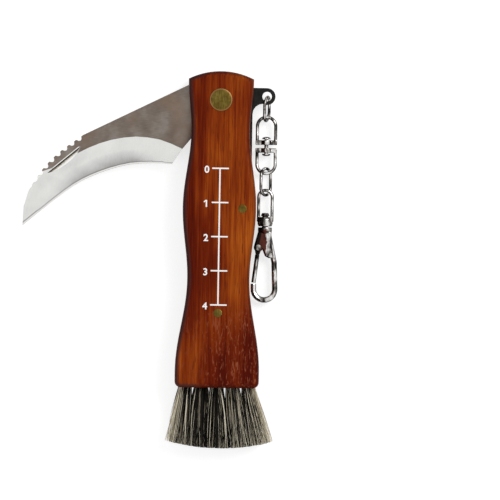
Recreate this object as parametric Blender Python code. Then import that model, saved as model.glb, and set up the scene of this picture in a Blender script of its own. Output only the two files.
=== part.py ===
"""A folding mushroom knife with a brush in its butt and a swivel clasp on its lug.

The knife lies on its back scale. +X is across the handle towards the lug, +Y runs along the handle
from the brush to the pivot, and +Z points away from the surface that it lies on. The origin is on
the back scale's flat face, on the handle's centre line and halfway up it.
"""

import math

import bmesh
import bpy
import numpy as np
from mathutils import Matrix, Vector

MM = 0.001

# Clearances and small sizes that many pieces share
FACE_GAP = 0.3 * MM
PIN_GAP = 0.2 * MM
WIRE_GAP = 0.3 * MM
CUT_OVERRUN = 1.0 * MM
WELD = 0.0000005
ROUND_SIDES = 28
SMALL_ROUND_SIDES = 16
SMOOTH_ANGLE = math.radians(35)
CURVE_STEPS = 12

# The handle's outline, measured from its middle
SHOULDER_HEIGHT = 44.3 * MM
CROWN_RISE = 2.3 * MM
HANDLE_TOP = SHOULDER_HEIGHT + CROWN_RISE
SHOULDER_HALF_WIDTH = 9.6 * MM
WAIST_HEIGHT = 29.3 * MM
WAIST_HALF_WIDTH = 8.6 * MM
BELLY_HEIGHT = 6.3 * MM
BELLY_HALF_WIDTH = 10.8 * MM
LOWER_WAIST_HEIGHT = -14.5 * MM
LOWER_WAIST_HALF_WIDTH = 9.15 * MM
BUTT_HEIGHT = -41.9 * MM
BUTT_HALF_WIDTH = 12.4 * MM
HANDLE_BOTTOM = -46.6 * MM
BUTT_CORNER = 1.8 * MM
SIDE_STEPS = 22
TOP_STEPS = 8
CORNER_STEPS = 4

# The layers of the handle, from the back scale to the front one
SCALE_THICKNESS = 4.0 * MM
SCALE_ROUNDING = 1.7 * MM
SCALE_ROUNDING_STEPS = 3
LINER_THICKNESS = 1.0 * MM
BLADE_THICKNESS = 2.0 * MM
METAL_INSET = 0.3 * MM
LINER_BOTTOM = -29.0 * MM
LINER_TOP_DROP = 0.5 * MM

BACK_LINER_FLOOR = SCALE_THICKNESS + FACE_GAP
BLADE_FLOOR = BACK_LINER_FLOOR + LINER_THICKNESS + FACE_GAP
FRONT_LINER_FLOOR = BLADE_FLOOR + BLADE_THICKNESS + FACE_GAP
FRONT_SCALE_FLOOR = FRONT_LINER_FLOOR + LINER_THICKNESS + FACE_GAP
HANDLE_THICKNESS = FRONT_SCALE_FLOOR + SCALE_THICKNESS

# The pins
PIVOT_HEIGHT = 38.2 * MM
PIVOT_HEAD_RADIUS = 3.3 * MM
PIVOT_SHANK_RADIUS = 1.5 * MM
PIVOT_HEAD_DEPTH = 1.2 * MM
PIVOT_DOME = 0.12 * MM
PIN_RADIUS = 1.1 * MM
PIN_RECESS = 0.05 * MM
SPRING_PIN_X = 6.8 * MM
SPRING_PIN_HEIGHT = 6.2 * MM
END_PIN_HEIGHT = -24.6 * MM

# The blade: shares are of its length, along it from the pivot and across it towards the back
BLADE_LENGTH = 69.3 * MM
BLADE_REST_ANGLE = math.radians(213.2)
BLADE_CLOSING_TURN = math.radians(55)
TANG_RADIUS = 8.1 * MM
SPINE_TILT = math.radians(6.87)
CHOIL_ANGLE = math.radians(-21.6)
EDGE_THICKNESS = 0.2 * MM
SERRATION_DEPTH = 0.9 * MM
SERRATION_COUNT = 9
STEPS_PER_SERRATION = 8
FADING_SERRATIONS = 2
BLADE_STATIONS = 15
TANG_STEPS = 18
SPINE_END_SHARE = (0.575, 0.187)
BACK_SHARES = (SPINE_END_SHARE, (0.695, 0.180), (0.800, 0.156), (0.895, 0.114))
POINT_SHARES = ((0.895, 0.114), (0.952, 0.066), (1.0, 0.0))
EDGE_SHARES = (
    (0.323, -0.119),
    (0.379, -0.078),
    (0.475, -0.025),
    (0.584, 0.009),
    (0.693, 0.026),
    (0.791, 0.023),
    (0.905, 0.011),
)
BEVEL_SHARES = (
    (0.251, -0.088),
    (0.298, -0.018),
    (0.346, 0.029),
    (0.406, 0.071),
    (0.487, 0.106),
    (0.562, 0.125),
    (0.650, 0.135),
    (0.760, 0.131),
    (0.850, 0.120),
    (0.895, 0.114),
)
# One tooth of the back: places along its pitch, and depths as shares of the notch
TOOTH_SHARES = ((0.0, 0.0), (0.30, 0.0), (0.45, 0.75), (0.62, 1.0), (0.82, 0.75))
NICK_SHARES = ((0.612, 0.152), (0.640, 0.133), (0.690, 0.124), (0.740, 0.122), (0.792, 0.130))
NICK_DEPTH = 0.5 * MM

# The back spring
SPRING_CLEARANCE = 0.6 * MM
SPRING_FOOT_RADIUS = 2.2 * MM
SPRING_TIP_LOW = math.radians(-45)
SPRING_TIP_HIGH = math.radians(-20)
SPRING_TIP_STEPS = 4
SPRING_BACK_X = 9.3 * MM

# The lug on the back liner
CHAIN_X = 13.5 * MM
LUG_HEIGHT = 39.4 * MM
LUG_RADIUS = 2.5 * MM
LUG_HOLE_RADIUS = 1.4 * MM
LUG_FILLET_RADIUS = 3.0 * MM
LUG_STEPS = 14
LUG_NECK_OVERLAP = 2.0 * MM

# The brush
BLOCK_TOP = -32.0 * MM
BRUSH_SLICE = 1.7 * MM
TUFT_COUNT = 5
TUFT_PITCH = 4.6 * MM
TUFT_RINGS = 4
STRAND_PITCH = 0.44 * MM
STRAND_RADIUS = 0.15 * MM
STRAND_TIP_RADIUS = 0.09 * MM
BRUSH_DROP = 17.9 * MM
BRUSH_SIDE_RISE = 2.6 * MM
STRAND_UNEVEN = 0.5 * MM
TUFT_SPREAD_SHARE = 1.34
STRAND_SPREAD_SHARE = 1.62
STRAND_DEPTH_SHARE = 2.7
STRAND_BEND_SHARES = (0.0, 0.5, 1.0)
STRAND_BEND_POWER = 1.4
STRAND_SIDES = 3
STRAND_WAVES = 5
TUFT_WAVES = 3

# The wires of the chain
CHAIN_FLOOR = 2.5 * MM
RING_WIRE = 0.45 * MM
RING_LENGTH = 7.3 * MM
RING_HALF_WIDTH = 2.1 * MM
RING_HANG = 0.45 * MM
BOW_WIRE = 0.5 * MM
BOW_HALF_WIDTH = 2.7 * MM
BOW_HEIGHT = 7.5 * MM
SWIVEL_PLATE = 1.4 * MM
SWIVEL_PLATE_RADIUS = 1.5 * MM
SWIVEL_GAP = 0.9 * MM
RIVET_RADIUS = 0.6 * MM
RIVET_HEAD_RADIUS = 1.25 * MM
RIVET_HEAD = 0.7 * MM
DOME_SHARE = 0.7
DOME_EDGE_SHARE = 0.5
LINK_LENGTH = 7.85 * MM
LINK_HALF_WIDTH = 2.2 * MM
LINK_TURN = math.radians(50)
LINK_SLACK = 0.5 * MM
EYE_HALF_WIDTH = 2.35 * MM
EYE_HEIGHT = 7.9 * MM
EYE_ARCH_RADIUS = 2.0 * MM
COLLAR = 2.75 * MM
COLLAR_RADIUS = 2.25 * MM
COLLAR_END_SHARE = 0.88
COLLAR_BULGE_SHARES = (0.25, 0.75)
STEM_RADIUS = 0.9 * MM
STEM_HEAD = 0.9 * MM
STEM_HEAD_RADIUS = 1.35 * MM
NECK_DISC = 1.2 * MM
NECK_DISC_RADIUS = 2.1 * MM
WIRE_ARC_STEPS = 9

# The clasp: lengths run down from the foot of its neck disc, and widths from the chain's line
HOOK_WIRE = 0.85 * MM
HOOK_HALF_WIDTH = 3.15 * MM
HOOK_LENGTH = 21.05 * MM
HOOK_BAR_TOP_X = 1.0 * MM
HOOK_BAR_TOP_DROP = 0.6 * MM
HOOK_BAR_KNEE_X = 2.85 * MM
HOOK_BAR_KNEE_DROP = 9.15 * MM
CLASP_BODY_HALF_THICKNESS = 1.5 * MM
CLASP_BODY_ROUNDING = 0.35 * MM
CLASP_SHOULDER = 2.0 * MM
CLASP_WEB_X = 0.1 * MM
CLASP_WEB_CORNER_DROP = 7.3 * MM
CLASP_WEB_DROP = 7.85 * MM
CLASP_WEB_FLAT = 1.2 * MM
CLASP_CHEEK_RADIUS = 1.35 * MM
CHEEK_START = math.radians(171)
CHEEK_END = math.radians(333)
GATE_PIVOT_X = 1.9 * MM
GATE_PIVOT_DROP = 4.75 * MM
GATE_PLATE_HALF_THICKNESS = 0.5 * MM
GATE_SLOT_TOP_DROP = 2.6 * MM
GATE_ROOT_RADIUS = 1.15 * MM
GATE_BAR_WIRE = 0.68 * MM
GATE_BAR_TOP_DROP = 6.95 * MM
GATE_BAR_TOP_SHARE = 0.2
GATE_LENGTH_TO_NOSE = 10.4 * MM
GATE_PIN_RADIUS = 0.5 * MM
GATE_PIN_HEAD_RADIUS = 0.9 * MM
GATE_PIN_HEAD = 0.3 * MM


def clear_scene():
    for obj in list(bpy.data.objects):
        bpy.data.objects.remove(obj, do_unlink=True)


def material(name, color, roughness, metallic):
    made = bpy.data.materials.get(name) or bpy.data.materials.new(name)
    made.use_nodes = True
    shader = made.node_tree.nodes["Principled BSDF"]
    shader.inputs["Base Color"].default_value = (*color, 1.0)
    shader.inputs["Roughness"].default_value = roughness
    shader.inputs["Metallic"].default_value = metallic
    return made


def wood():
    return material("oiled_rosewood", (0.22, 0.045, 0.012), 0.42, 0.0)


def blade_steel():
    return material("satin_blade_steel", (0.62, 0.61, 0.59), 0.28, 1.0)


def black_steel():
    return material("blackened_steel", (0.02, 0.02, 0.021), 0.45, 0.6)


def brass():
    return material("aged_brass", (0.35, 0.27, 0.09), 0.4, 1.0)


def nickel():
    return material("nickel_plate", (0.72, 0.71, 0.69), 0.15, 1.0)


def bristle():
    return material("horse_hair", (0.16, 0.13, 0.10), 0.7, 0.0)


def block_wood():
    return material("brush_block_wood", (0.14, 0.04, 0.015), 0.6, 0.0)


def add_mesh(name, build, finish, smooth=True):
    """An object whose mesh is built by a function that fills a bmesh."""
    mesh = bpy.data.meshes.new(name)
    filling = bmesh.new()
    build(filling)
    bmesh.ops.recalc_face_normals(filling, faces=filling.faces)
    filling.to_mesh(mesh)
    filling.free()
    if smooth:
        mesh.shade_smooth()
        mesh.set_sharp_from_angle(angle=SMOOTH_ANGLE)
    obj = bpy.data.objects.new(name, mesh)
    bpy.context.scene.collection.objects.link(obj)
    if finish:
        mesh.materials.append(finish)
    return obj


def hide(obj):
    obj.hide_render = True
    obj.display_type = "WIRE"
    return obj


def combine(obj, tool, operation):
    """A live Boolean with the EXACT solver, whose tool is left out of the model."""
    modifier = obj.modifiers.new(f"{operation.lower()}_{tool.name}", "BOOLEAN")
    modifier.operation = operation
    modifier.solver = "EXACT"
    modifier.object = hide(tool)
    return obj


def cut(obj, tool):
    return combine(obj, tool, "DIFFERENCE")


def join(obj, tool):
    return combine(obj, tool, "UNION")


def extruded(outline, low, high):
    """Fills a bmesh with the prism of a closed outline between two heights."""

    def build(filling):
        base = filling.faces.new([filling.verts.new((x, y, low)) for x, y in outline])
        made = bmesh.ops.extrude_face_region(filling, geom=[base])["geom"]
        top = [part for part in made if isinstance(part, bmesh.types.BMVert)]
        bmesh.ops.translate(filling, verts=top, vec=(0, 0, high - low))

    return build


def turned(profile, sides):
    """Fills a bmesh with a profile of (radius, height) turned about Z."""

    def build(filling):
        points = [filling.verts.new((radius, 0, height)) for radius, height in profile]
        for first, second in zip(points, points[1:]):
            filling.edges.new((first, second))
        bmesh.ops.spin(
            filling,
            geom=filling.verts[:] + filling.edges[:],
            axis=(0, 0, 1),
            cent=(0, 0, 0),
            angle=math.tau,
            steps=sides,
        )
        bmesh.ops.remove_doubles(filling, verts=filling.verts, dist=WELD)

    return build


def rod_profile(radius, low, high):
    return ((0, low), (radius, low), (radius, high), (0, high))


def drill(obj, name, x, y, radius, low, high, sides=SMALL_ROUND_SIDES):
    """Cuts a round hole along Z through an object."""
    tool = add_mesh(name, turned(rod_profile(radius, low, high), sides), None)
    tool.location = (x, y, 0)
    return cut(obj, tool)


def wire(name, points, radius, finish, closed, sides_level=2):
    """A round wire along points, made as a bevelled curve and kept as a mesh."""
    curve = bpy.data.curves.new(name, "CURVE")
    curve.dimensions = "3D"
    curve.bevel_depth = radius
    curve.bevel_resolution = sides_level
    curve.use_fill_caps = True
    spline = curve.splines.new("POLY")
    spline.points.add(len(points) - 1)
    for point, place in zip(spline.points, points):
        point.co = (*place, 1.0)
    spline.use_cyclic_u = closed
    guide = bpy.data.objects.new(f"{name}_guide", curve)
    bpy.context.scene.collection.objects.link(guide)
    bpy.context.view_layer.update()
    graph = bpy.context.evaluated_depsgraph_get()
    mesh = bpy.data.meshes.new_from_object(guide.evaluated_get(graph))
    bpy.data.objects.remove(guide, do_unlink=True)

    def build(filling):
        filling.from_mesh(mesh)
        bmesh.ops.remove_doubles(filling, verts=filling.verts, dist=WELD)

    return add_mesh(name, build, finish)


def arc(centre, radius, start, end, steps):
    angles = np.linspace(start, end, steps + 1)
    return [(centre[0] + radius * math.cos(a), centre[1] + radius * math.sin(a)) for a in angles]


def smooth_through(points, count):
    """Evenly spaced points on a Catmull-Rom curve through the given ones."""
    given = np.array(points, dtype=float)
    ends = np.vstack([2 * given[0] - given[1], given, 2 * given[-1] - given[-2]])
    dense = []
    for a, b, c, d in zip(ends, ends[1:], ends[2:], ends[3:]):
        for t in np.linspace(0, 1, CURVE_STEPS, endpoint=False):
            dense.append(
                0.5 * (2 * b + (c - a) * t + (2 * a - 5 * b + 4 * c - d) * t**2 + (3 * b - a - 3 * c + d) * t**3)
            )
    dense = np.array(dense + [given[-1]])
    along = np.concatenate([[0], np.cumsum(np.linalg.norm(np.diff(dense, axis=0), axis=1))])
    wanted = np.linspace(0, along[-1], count)
    return np.column_stack([np.interp(wanted, along, dense[:, k]) for k in range(given.shape[1])])


# The handle's outline


def half_width(y):
    """The handle's half width at a height, in waves between its waists and bellies."""
    stations = (
        (BUTT_HEIGHT, BUTT_HALF_WIDTH),
        (LOWER_WAIST_HEIGHT, LOWER_WAIST_HALF_WIDTH),
        (BELLY_HEIGHT, BELLY_HALF_WIDTH),
        (WAIST_HEIGHT, WAIST_HALF_WIDTH),
        (SHOULDER_HEIGHT, SHOULDER_HALF_WIDTH),
    )
    if y <= BUTT_HEIGHT:
        return BUTT_HALF_WIDTH
    for (low, start), (high, end) in zip(stations, stations[1:]):
        if y <= high:
            return start + (end - start) * (1 - math.cos(math.pi * (y - low) / (high - low))) / 2
    return SHOULDER_HALF_WIDTH


def top_arc(half, drop):
    """The crowned top, from the right shoulder to the left one."""
    radius = (SHOULDER_HALF_WIDTH**2 + CROWN_RISE**2) / (2 * CROWN_RISE)
    centre = (0, HANDLE_TOP - radius)
    reach = math.asin(half / (radius - drop))
    return arc(centre, radius - drop, math.pi / 2 - reach, math.pi / 2 + reach, TOP_STEPS)


def scale_outline():
    floor = HANDLE_BOTTOM + BUTT_CORNER
    right = [(half_width(y), y) for y in np.linspace(floor, SHOULDER_HEIGHT, SIDE_STEPS + 1)][:-1]
    left = [(-x, y) for x, y in reversed(right)]
    inner = BUTT_HALF_WIDTH - BUTT_CORNER
    corner = arc((inner, floor), BUTT_CORNER, -math.pi / 2, 0, CORNER_STEPS)[:-1]
    left_corner = [(-x, y) for x, y in reversed(corner)]
    return corner + right + top_arc(SHOULDER_HALF_WIDTH, 0) + left + left_corner


def metal_half_width(y):
    return half_width(y) - METAL_INSET


def metal_back(y):
    """The right edge of the back liner and the spring, which stand proud at the waist."""
    near_waist = BELLY_HEIGHT < y < PIVOT_HEIGHT
    return max(metal_half_width(y), SPRING_BACK_X) if near_waist else metal_half_width(y)


def liner_outline(right_edge):
    ys = np.linspace(LINER_BOTTOM, SHOULDER_HEIGHT - LINER_TOP_DROP, SIDE_STEPS + 1)
    right = [(right_edge(y), y) for y in ys]
    left = [(-metal_half_width(y), y) for y in reversed(ys)]
    return right + top_arc(SHOULDER_HALF_WIDTH - METAL_INSET, LINER_TOP_DROP)[1:-1] + left


# The handle's pieces


def scale(name, low, outer_face):
    """A wooden scale, rounded along the edge of its outer face."""

    def build(filling):
        extruded(scale_outline(), low, low + SCALE_THICKNESS)(filling)
        rim = [e for e in filling.edges if all(abs(v.co.z - outer_face) < WELD for v in e.verts)]
        bmesh.ops.bevel(
            filling,
            geom=rim,
            offset=SCALE_ROUNDING,
            offset_type="OFFSET",
            segments=SCALE_ROUNDING_STEPS,
            profile=0.5,
            affect="EDGES",
        )

    return add_mesh(name, build, wood())


def drill_scale(obj, low, outer_face):
    """The scale's pin holes, with a counterbore for the pivot's head."""
    bottom = low - CUT_OVERRUN
    top = low + SCALE_THICKNESS + CUT_OVERRUN
    drill(obj, f"{obj.name}_pivot_hole", 0, PIVOT_HEIGHT, PIVOT_SHANK_RADIUS + PIN_GAP, bottom, top)
    depth = PIVOT_HEAD_DEPTH + FACE_GAP + PIN_RECESS
    outwards = math.copysign(1, outer_face - low - SCALE_THICKNESS / 2)
    seat = sorted((outer_face + outwards * CUT_OVERRUN, outer_face - outwards * depth))
    drill(obj, f"{obj.name}_counterbore", 0, PIVOT_HEIGHT, PIVOT_HEAD_RADIUS + PIN_GAP, *seat, sides=ROUND_SIDES)
    for label, x, y in pin_places():
        drill(obj, f"{obj.name}_{label}_hole", x, y, PIN_RADIUS + PIN_GAP, bottom, top)


def pin_places():
    return (("spring_pin", SPRING_PIN_X, SPRING_PIN_HEIGHT), ("end_pin", 0, END_PIN_HEIGHT))


def drill_metal(obj, low, thickness):
    bottom = low - CUT_OVERRUN
    top = low + thickness + CUT_OVERRUN
    for label, x, y in pin_places():
        drill(obj, f"{obj.name}_{label}_hole", x, y, PIN_RADIUS + PIN_GAP, bottom, top)


def liner(name, low, right_edge):
    return add_mesh(name, extruded(liner_outline(right_edge), low, low + LINER_THICKNESS), black_steel())


def drill_liner(obj, low):
    drill_metal(obj, low, LINER_THICKNESS)
    bottom = low - CUT_OVERRUN
    top = low + LINER_THICKNESS + CUT_OVERRUN
    drill(obj, f"{obj.name}_pivot_hole", 0, PIVOT_HEIGHT, PIVOT_SHANK_RADIUS + PIN_GAP, bottom, top)


def lug_outline():
    """The lug's eye, its flat top and the fillet under it, running into the liner."""
    inner = SPRING_BACK_X - LUG_NECK_OVERLAP
    eye = arc((CHAIN_X, LUG_HEIGHT), LUG_RADIUS, math.pi / 2, -math.pi * 2 / 3, LUG_STEPS)
    fillet_centre = (SPRING_BACK_X + LUG_FILLET_RADIUS, eye[-1][1] - LUG_FILLET_RADIUS)
    fillet = arc(fillet_centre, LUG_FILLET_RADIUS, math.pi / 2, math.pi, CORNER_STEPS)[1:]
    return eye + fillet + [(inner, fillet[-1][1]), (inner, LUG_HEIGHT + LUG_RADIUS)]


def add_lug(obj, low):
    join(obj, add_mesh("lug", extruded(lug_outline(), low, low + LINER_THICKNESS), black_steel()))
    bottom = low - CUT_OVERRUN
    top = low + LINER_THICKNESS + CUT_OVERRUN
    drill(obj, "lug_hole", CHAIN_X, LUG_HEIGHT, LUG_HOLE_RADIUS, bottom, top, sides=ROUND_SIDES)


def pivot_pin():
    low = PIN_RECESS
    high = HANDLE_THICKNESS
    profile = (
        (0, low),
        (PIVOT_HEAD_RADIUS, low),
        (PIVOT_HEAD_RADIUS, low + PIVOT_HEAD_DEPTH),
        (PIVOT_SHANK_RADIUS, low + PIVOT_HEAD_DEPTH),
        (PIVOT_SHANK_RADIUS, high - PIVOT_HEAD_DEPTH),
        (PIVOT_HEAD_RADIUS, high - PIVOT_HEAD_DEPTH),
        (PIVOT_HEAD_RADIUS, high),
        (PIVOT_SHANK_RADIUS, high + PIVOT_DOME),
        (0, high + PIVOT_DOME),
    )
    obj = add_mesh("pivot_pin", turned(profile, ROUND_SIDES), brass())
    obj.location = (0, PIVOT_HEIGHT, 0)


def plain_pins():
    for label, x, y in pin_places():
        profile = rod_profile(PIN_RADIUS, PIN_RECESS, HANDLE_THICKNESS - PIN_RECESS)
        obj = add_mesh(label, turned(profile, SMALL_ROUND_SIDES), brass())
        obj.location = (x, y, 0)


def turn_closed(share):
    """A place on the blade, given in shares of its length, with the blade folded into the handle."""
    turn = BLADE_REST_ANGLE + BLADE_CLOSING_TURN
    x, y = share[0] * BLADE_LENGTH, -share[1] * BLADE_LENGTH
    cos, sin = math.cos(turn), math.sin(turn)
    return (x * cos - y * sin, PIVOT_HEIGHT + x * sin + y * cos)


def back_spring():
    """The spring and spacer behind the blade: its inner side follows the folded blade's edge."""
    tip = arc((0, PIVOT_HEIGHT), TANG_RADIUS + FACE_GAP, SPRING_TIP_HIGH, SPRING_TIP_LOW, SPRING_TIP_STEPS)
    beside = [turn_closed(share) for share in smooth_through(EDGE_SHARES, BLADE_STATIONS)]
    choil = [turn_closed(BEVEL_SHARES[0])]
    foot_top = END_PIN_HEIGHT + SPRING_FOOT_RADIUS
    inner = [(x + SPRING_CLEARANCE, y) for x, y in choil + beside if y > foot_top]
    foot = arc((0, END_PIN_HEIGHT), SPRING_FOOT_RADIUS, math.pi, math.pi * 3 / 2, CORNER_STEPS)
    ys = np.linspace(foot[-1][1], tip[0][1], SIDE_STEPS + 1)
    outer = [(metal_back(y), y) for y in ys]
    obj = add_mesh(
        "back_spring",
        extruded(tip + inner + foot + outer, BLADE_FLOOR, BLADE_FLOOR + BLADE_THICKNESS),
        black_steel(),
    )
    drill_metal(obj, BLADE_FLOOR, BLADE_THICKNESS)


# The blade


def blade_point(share):
    return (share[0] * BLADE_LENGTH, -share[1] * BLADE_LENGTH)


def serrations():
    """The back from the spine's end to the bevel's end, as a row of crests and notches."""
    steps = STEPS_PER_SERRATION * SERRATION_COUNT
    back = smooth_through([blade_point(share) for share in BACK_SHARES], steps + 1)
    along = np.linspace(0, SERRATION_COUNT, steps + 1)
    points = []
    for tooth in range(SERRATION_COUNT):
        for place, depth in TOOTH_SHARES:
            # The last teeth fade out, so that their notches stay clear of the bevel
            depth *= min(1, (SERRATION_COUNT - tooth - place) / FADING_SERRATIONS)
            x, y = (np.interp(tooth + place, along, back[:, k]) for k in (0, 1))
            ahead = [np.interp(tooth + place + 1 / steps, along, back[:, k]) for k in (0, 1)]
            run = np.array([ahead[0] - x, ahead[1] - y])
            run /= np.linalg.norm(run)
            points.append((x - run[1] * depth * SERRATION_DEPTH, y + run[0] * depth * SERRATION_DEPTH))
    return points


def blade():
    """The hooked blade: a flat cheek with a tang, and a bevel that falls to the edge on both sides."""
    half = BLADE_THICKNESS / 2
    thin = EDGE_THICKNESS / 2
    bevel = smooth_through([blade_point(share) for share in BEVEL_SHARES], BLADE_STATIONS)
    edge = smooth_through([blade_point(share) for share in EDGE_SHARES], BLADE_STATIONS)
    tang = arc((0, 0), TANG_RADIUS, -CHOIL_ANGLE, math.tau - math.pi / 2 - SPINE_TILT, TANG_STEPS)
    cheek = tang + serrations()
    mid_point, tip_point = (blade_point(share) for share in POINT_SHARES[1:])

    def build(filling):
        sides = []
        for sign in (1, -1):
            cheek_ring = [filling.verts.new((x, y, sign * half)) for x, y in cheek]
            upper = [filling.verts.new((x, y, sign * half)) for x, y in bevel]
            upper.append(filling.verts.new((*mid_point, sign * (half + thin) / 2)))
            tip = filling.verts.new((*tip_point, sign * thin))
            lower = [filling.verts.new((x, y, sign * thin)) for x, y in edge]
            filling.faces.new(cheek_ring + list(reversed(upper[:-1])))
            for k in range(len(lower) - 1):
                filling.faces.new((upper[k], upper[k + 1], lower[k + 1], lower[k]))
            filling.faces.new((upper[-2], upper[-1], lower[-1]))
            filling.faces.new((upper[-1], tip, lower[-1]))
            sides.append([upper[0], *cheek_ring, upper[-2], upper[-1], tip, *reversed(lower)])
        front, back = sides
        for k in range(len(front)):
            ahead = (k + 1) % len(front)
            filling.faces.new((front[k], front[ahead], back[ahead], back[k]))

    obj = add_mesh("blade", build, blade_steel())
    nick = [blade_point(share) for share in NICK_SHARES]
    nick_low = half - NICK_DEPTH
    nick_tool = add_mesh("nail_nick", extruded(nick, nick_low, half + CUT_OVERRUN), None)
    nick_tool.parent = obj
    cut(obj, nick_tool)
    hole = rod_profile(PIVOT_SHANK_RADIUS + PIN_GAP, -half - CUT_OVERRUN, half + CUT_OVERRUN)
    hole_tool = add_mesh("blade_hole", turned(hole, ROUND_SIDES), None)
    hole_tool.parent = obj
    cut(obj, hole_tool)
    obj.location = (0, PIVOT_HEIGHT, BLADE_FLOOR + half)
    obj.rotation_euler = (0, 0, BLADE_REST_ANGLE)


# The brush


def brush_block():
    floor = BACK_LINER_FLOOR
    ceiling = FRONT_SCALE_FLOOR - FACE_GAP
    ys = np.linspace(HANDLE_BOTTOM + BRUSH_SLICE + 2 * FACE_GAP, BLOCK_TOP, CORNER_STEPS + 1)
    right = [(metal_half_width(y), y) for y in ys]
    left = [(-x, y) for x, y in reversed(right)]
    add_mesh("brush_block", extruded(right + left, floor, ceiling), block_wood())


def tuft_roots():
    """Places in one round tuft, in rings of a hexagonal grid."""
    places = [(0.0, 0.0)]
    for ring in range(1, TUFT_RINGS + 1):
        for side in range(6):
            start, end = (
                (math.cos(math.radians(60 * turn)), math.sin(math.radians(60 * turn))) for turn in (side, side + 1)
            )
            for step in range(ring):
                share = step / ring
                x = ring * (start[0] + (end[0] - start[0]) * share)
                z = ring * (start[1] + (end[1] - start[1]) * share)
                places.append((x * STRAND_PITCH, z * STRAND_PITCH))
    return places


def strand_rings():
    """For each strand, its three-sided rings from the root to the tip."""
    root_y = HANDLE_BOTTOM + FACE_GAP
    middle = HANDLE_THICKNESS / 2
    reach = TUFT_PITCH * (TUFT_COUNT - 1) / 2 * TUFT_SPREAD_SHARE
    strands = []
    for tuft in range(TUFT_COUNT):
        centre = TUFT_PITCH * (tuft - (TUFT_COUNT - 1) / 2)
        for number, (x, z) in enumerate(tuft_roots()):
            tip_x = centre * TUFT_SPREAD_SHARE + x * STRAND_SPREAD_SHARE
            tip_z = z * STRAND_DEPTH_SHARE
            drop = BRUSH_DROP - BRUSH_SIDE_RISE * (tip_x / reach) ** 2
            drop -= STRAND_UNEVEN * (1 + math.sin(STRAND_WAVES * number + TUFT_WAVES * tuft))
            rings = []
            for share in STRAND_BEND_SHARES:
                bend = share**STRAND_BEND_POWER
                radius = STRAND_RADIUS + (STRAND_TIP_RADIUS - STRAND_RADIUS) * share
                here_x = centre + x + (tip_x - centre - x) * bend
                here_z = middle + z + (tip_z - z) * bend
                corners = [math.tau * corner / STRAND_SIDES for corner in range(STRAND_SIDES)]
                rings.append(
                    [
                        (here_x + radius * math.cos(a), root_y - drop * share, here_z + radius * math.sin(a))
                        for a in corners
                    ]
                )
            strands.append(rings)
    return strands


def bristles():
    """Five tufts of strands that flare to the tips, fused to the slice of block that holds them."""
    face_y = HANDLE_BOTTOM + FACE_GAP
    top_y = face_y + BRUSH_SLICE
    half_x = BUTT_HALF_WIDTH - METAL_INSET - BUTT_CORNER / 2
    floor = BACK_LINER_FLOOR
    ceiling = FRONT_SCALE_FLOOR - FACE_GAP

    def build(filling):
        corners = [(-half_x, floor), (half_x, floor), (half_x, ceiling), (-half_x, ceiling)]
        face = [filling.verts.new((x, face_y, z)) for x, z in corners]
        top = [filling.verts.new((x, top_y, z)) for x, z in corners]
        filling.faces.new(top)
        rim = [filling.edges.new((face[k], face[(k + 1) % 4])) for k in range(4)]
        for k in range(4):
            ahead = (k + 1) % 4
            filling.faces.new((face[k], face[ahead], top[ahead], top[k]))
        for rings in strand_rings():
            made = [[filling.verts.new(place) for place in ring] for ring in rings]
            for low, high in zip(made, made[1:]):
                for k in range(STRAND_SIDES):
                    ahead = (k + 1) % STRAND_SIDES
                    filling.faces.new((low[k], low[ahead], high[ahead], high[k]))
            filling.faces.new(made[-1])
            rim += [filling.edges.get((made[0][k], made[0][(k + 1) % STRAND_SIDES])) for k in range(STRAND_SIDES)]
        bmesh.ops.triangle_fill(filling, edges=rim, use_beauty=True, normal=(0, -1, 0))

    add_mesh("bristles", build, bristle(), smooth=False)


# The chain, the swivel and the clasp


def placed(flat, turn, origin):
    """Flat points (across, along) carried into place by a rotation and an origin."""
    return [tuple(turn @ Vector((x, y, 0)) + Vector(origin)) for x, y in flat]


def oval(half, length):
    """A link's centre line, from its top at 0 down to -length, with round ends."""
    top = arc((0, -half), half, 0, math.pi, WIRE_ARC_STEPS)
    bottom = arc((0, half - length), half, math.pi, math.tau, WIRE_ARC_STEPS)
    return top + bottom


RING_TOP = LUG_HEIGHT - RING_HANG
LUG_MIDDLE = BACK_LINER_FLOOR + LINER_THICKNESS / 2
RING_REACH = RING_LENGTH - RING_WIRE - BOW_WIRE - WIRE_GAP
RING_TILT = math.asin((LUG_MIDDLE - CHAIN_FLOOR) / RING_REACH)
BOW_TOP = RING_TOP - RING_REACH * math.cos(RING_TILT)
UPPER_PLATE_FLOOR = BOW_TOP - BOW_HEIGHT - SWIVEL_PLATE / 2
LOWER_PLATE_TOP = UPPER_PLATE_FLOOR - SWIVEL_GAP
LOWER_BOW_BOTTOM = LOWER_PLATE_TOP - BOW_HEIGHT
LINK_TOP = LOWER_BOW_BOTTOM + BOW_WIRE + RING_WIRE + LINK_SLACK
LINK_BOTTOM = LINK_TOP - LINK_LENGTH
EYE_TOP = LINK_BOTTOM + BOW_WIRE + RING_WIRE + LINK_SLACK
COLLAR_TOP = EYE_TOP - EYE_HEIGHT
COLLAR_FLOOR = COLLAR_TOP - COLLAR
NECK_TOP = COLLAR_FLOOR - WIRE_GAP
CLASP_TOP = NECK_TOP - NECK_DISC


def lug_ring():
    """The jump ring through the lug, leaning down to the chain that lies on the surface."""
    turn = Matrix.Rotation(RING_TILT, 3, "X") @ Matrix.Rotation(math.pi / 2, 3, "Y")
    origin = (CHAIN_X, RING_TOP, LUG_MIDDLE)
    wire("lug_ring", placed(oval(RING_HALF_WIDTH, RING_LENGTH), turn, origin), RING_WIRE, nickel(), closed=True)


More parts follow.
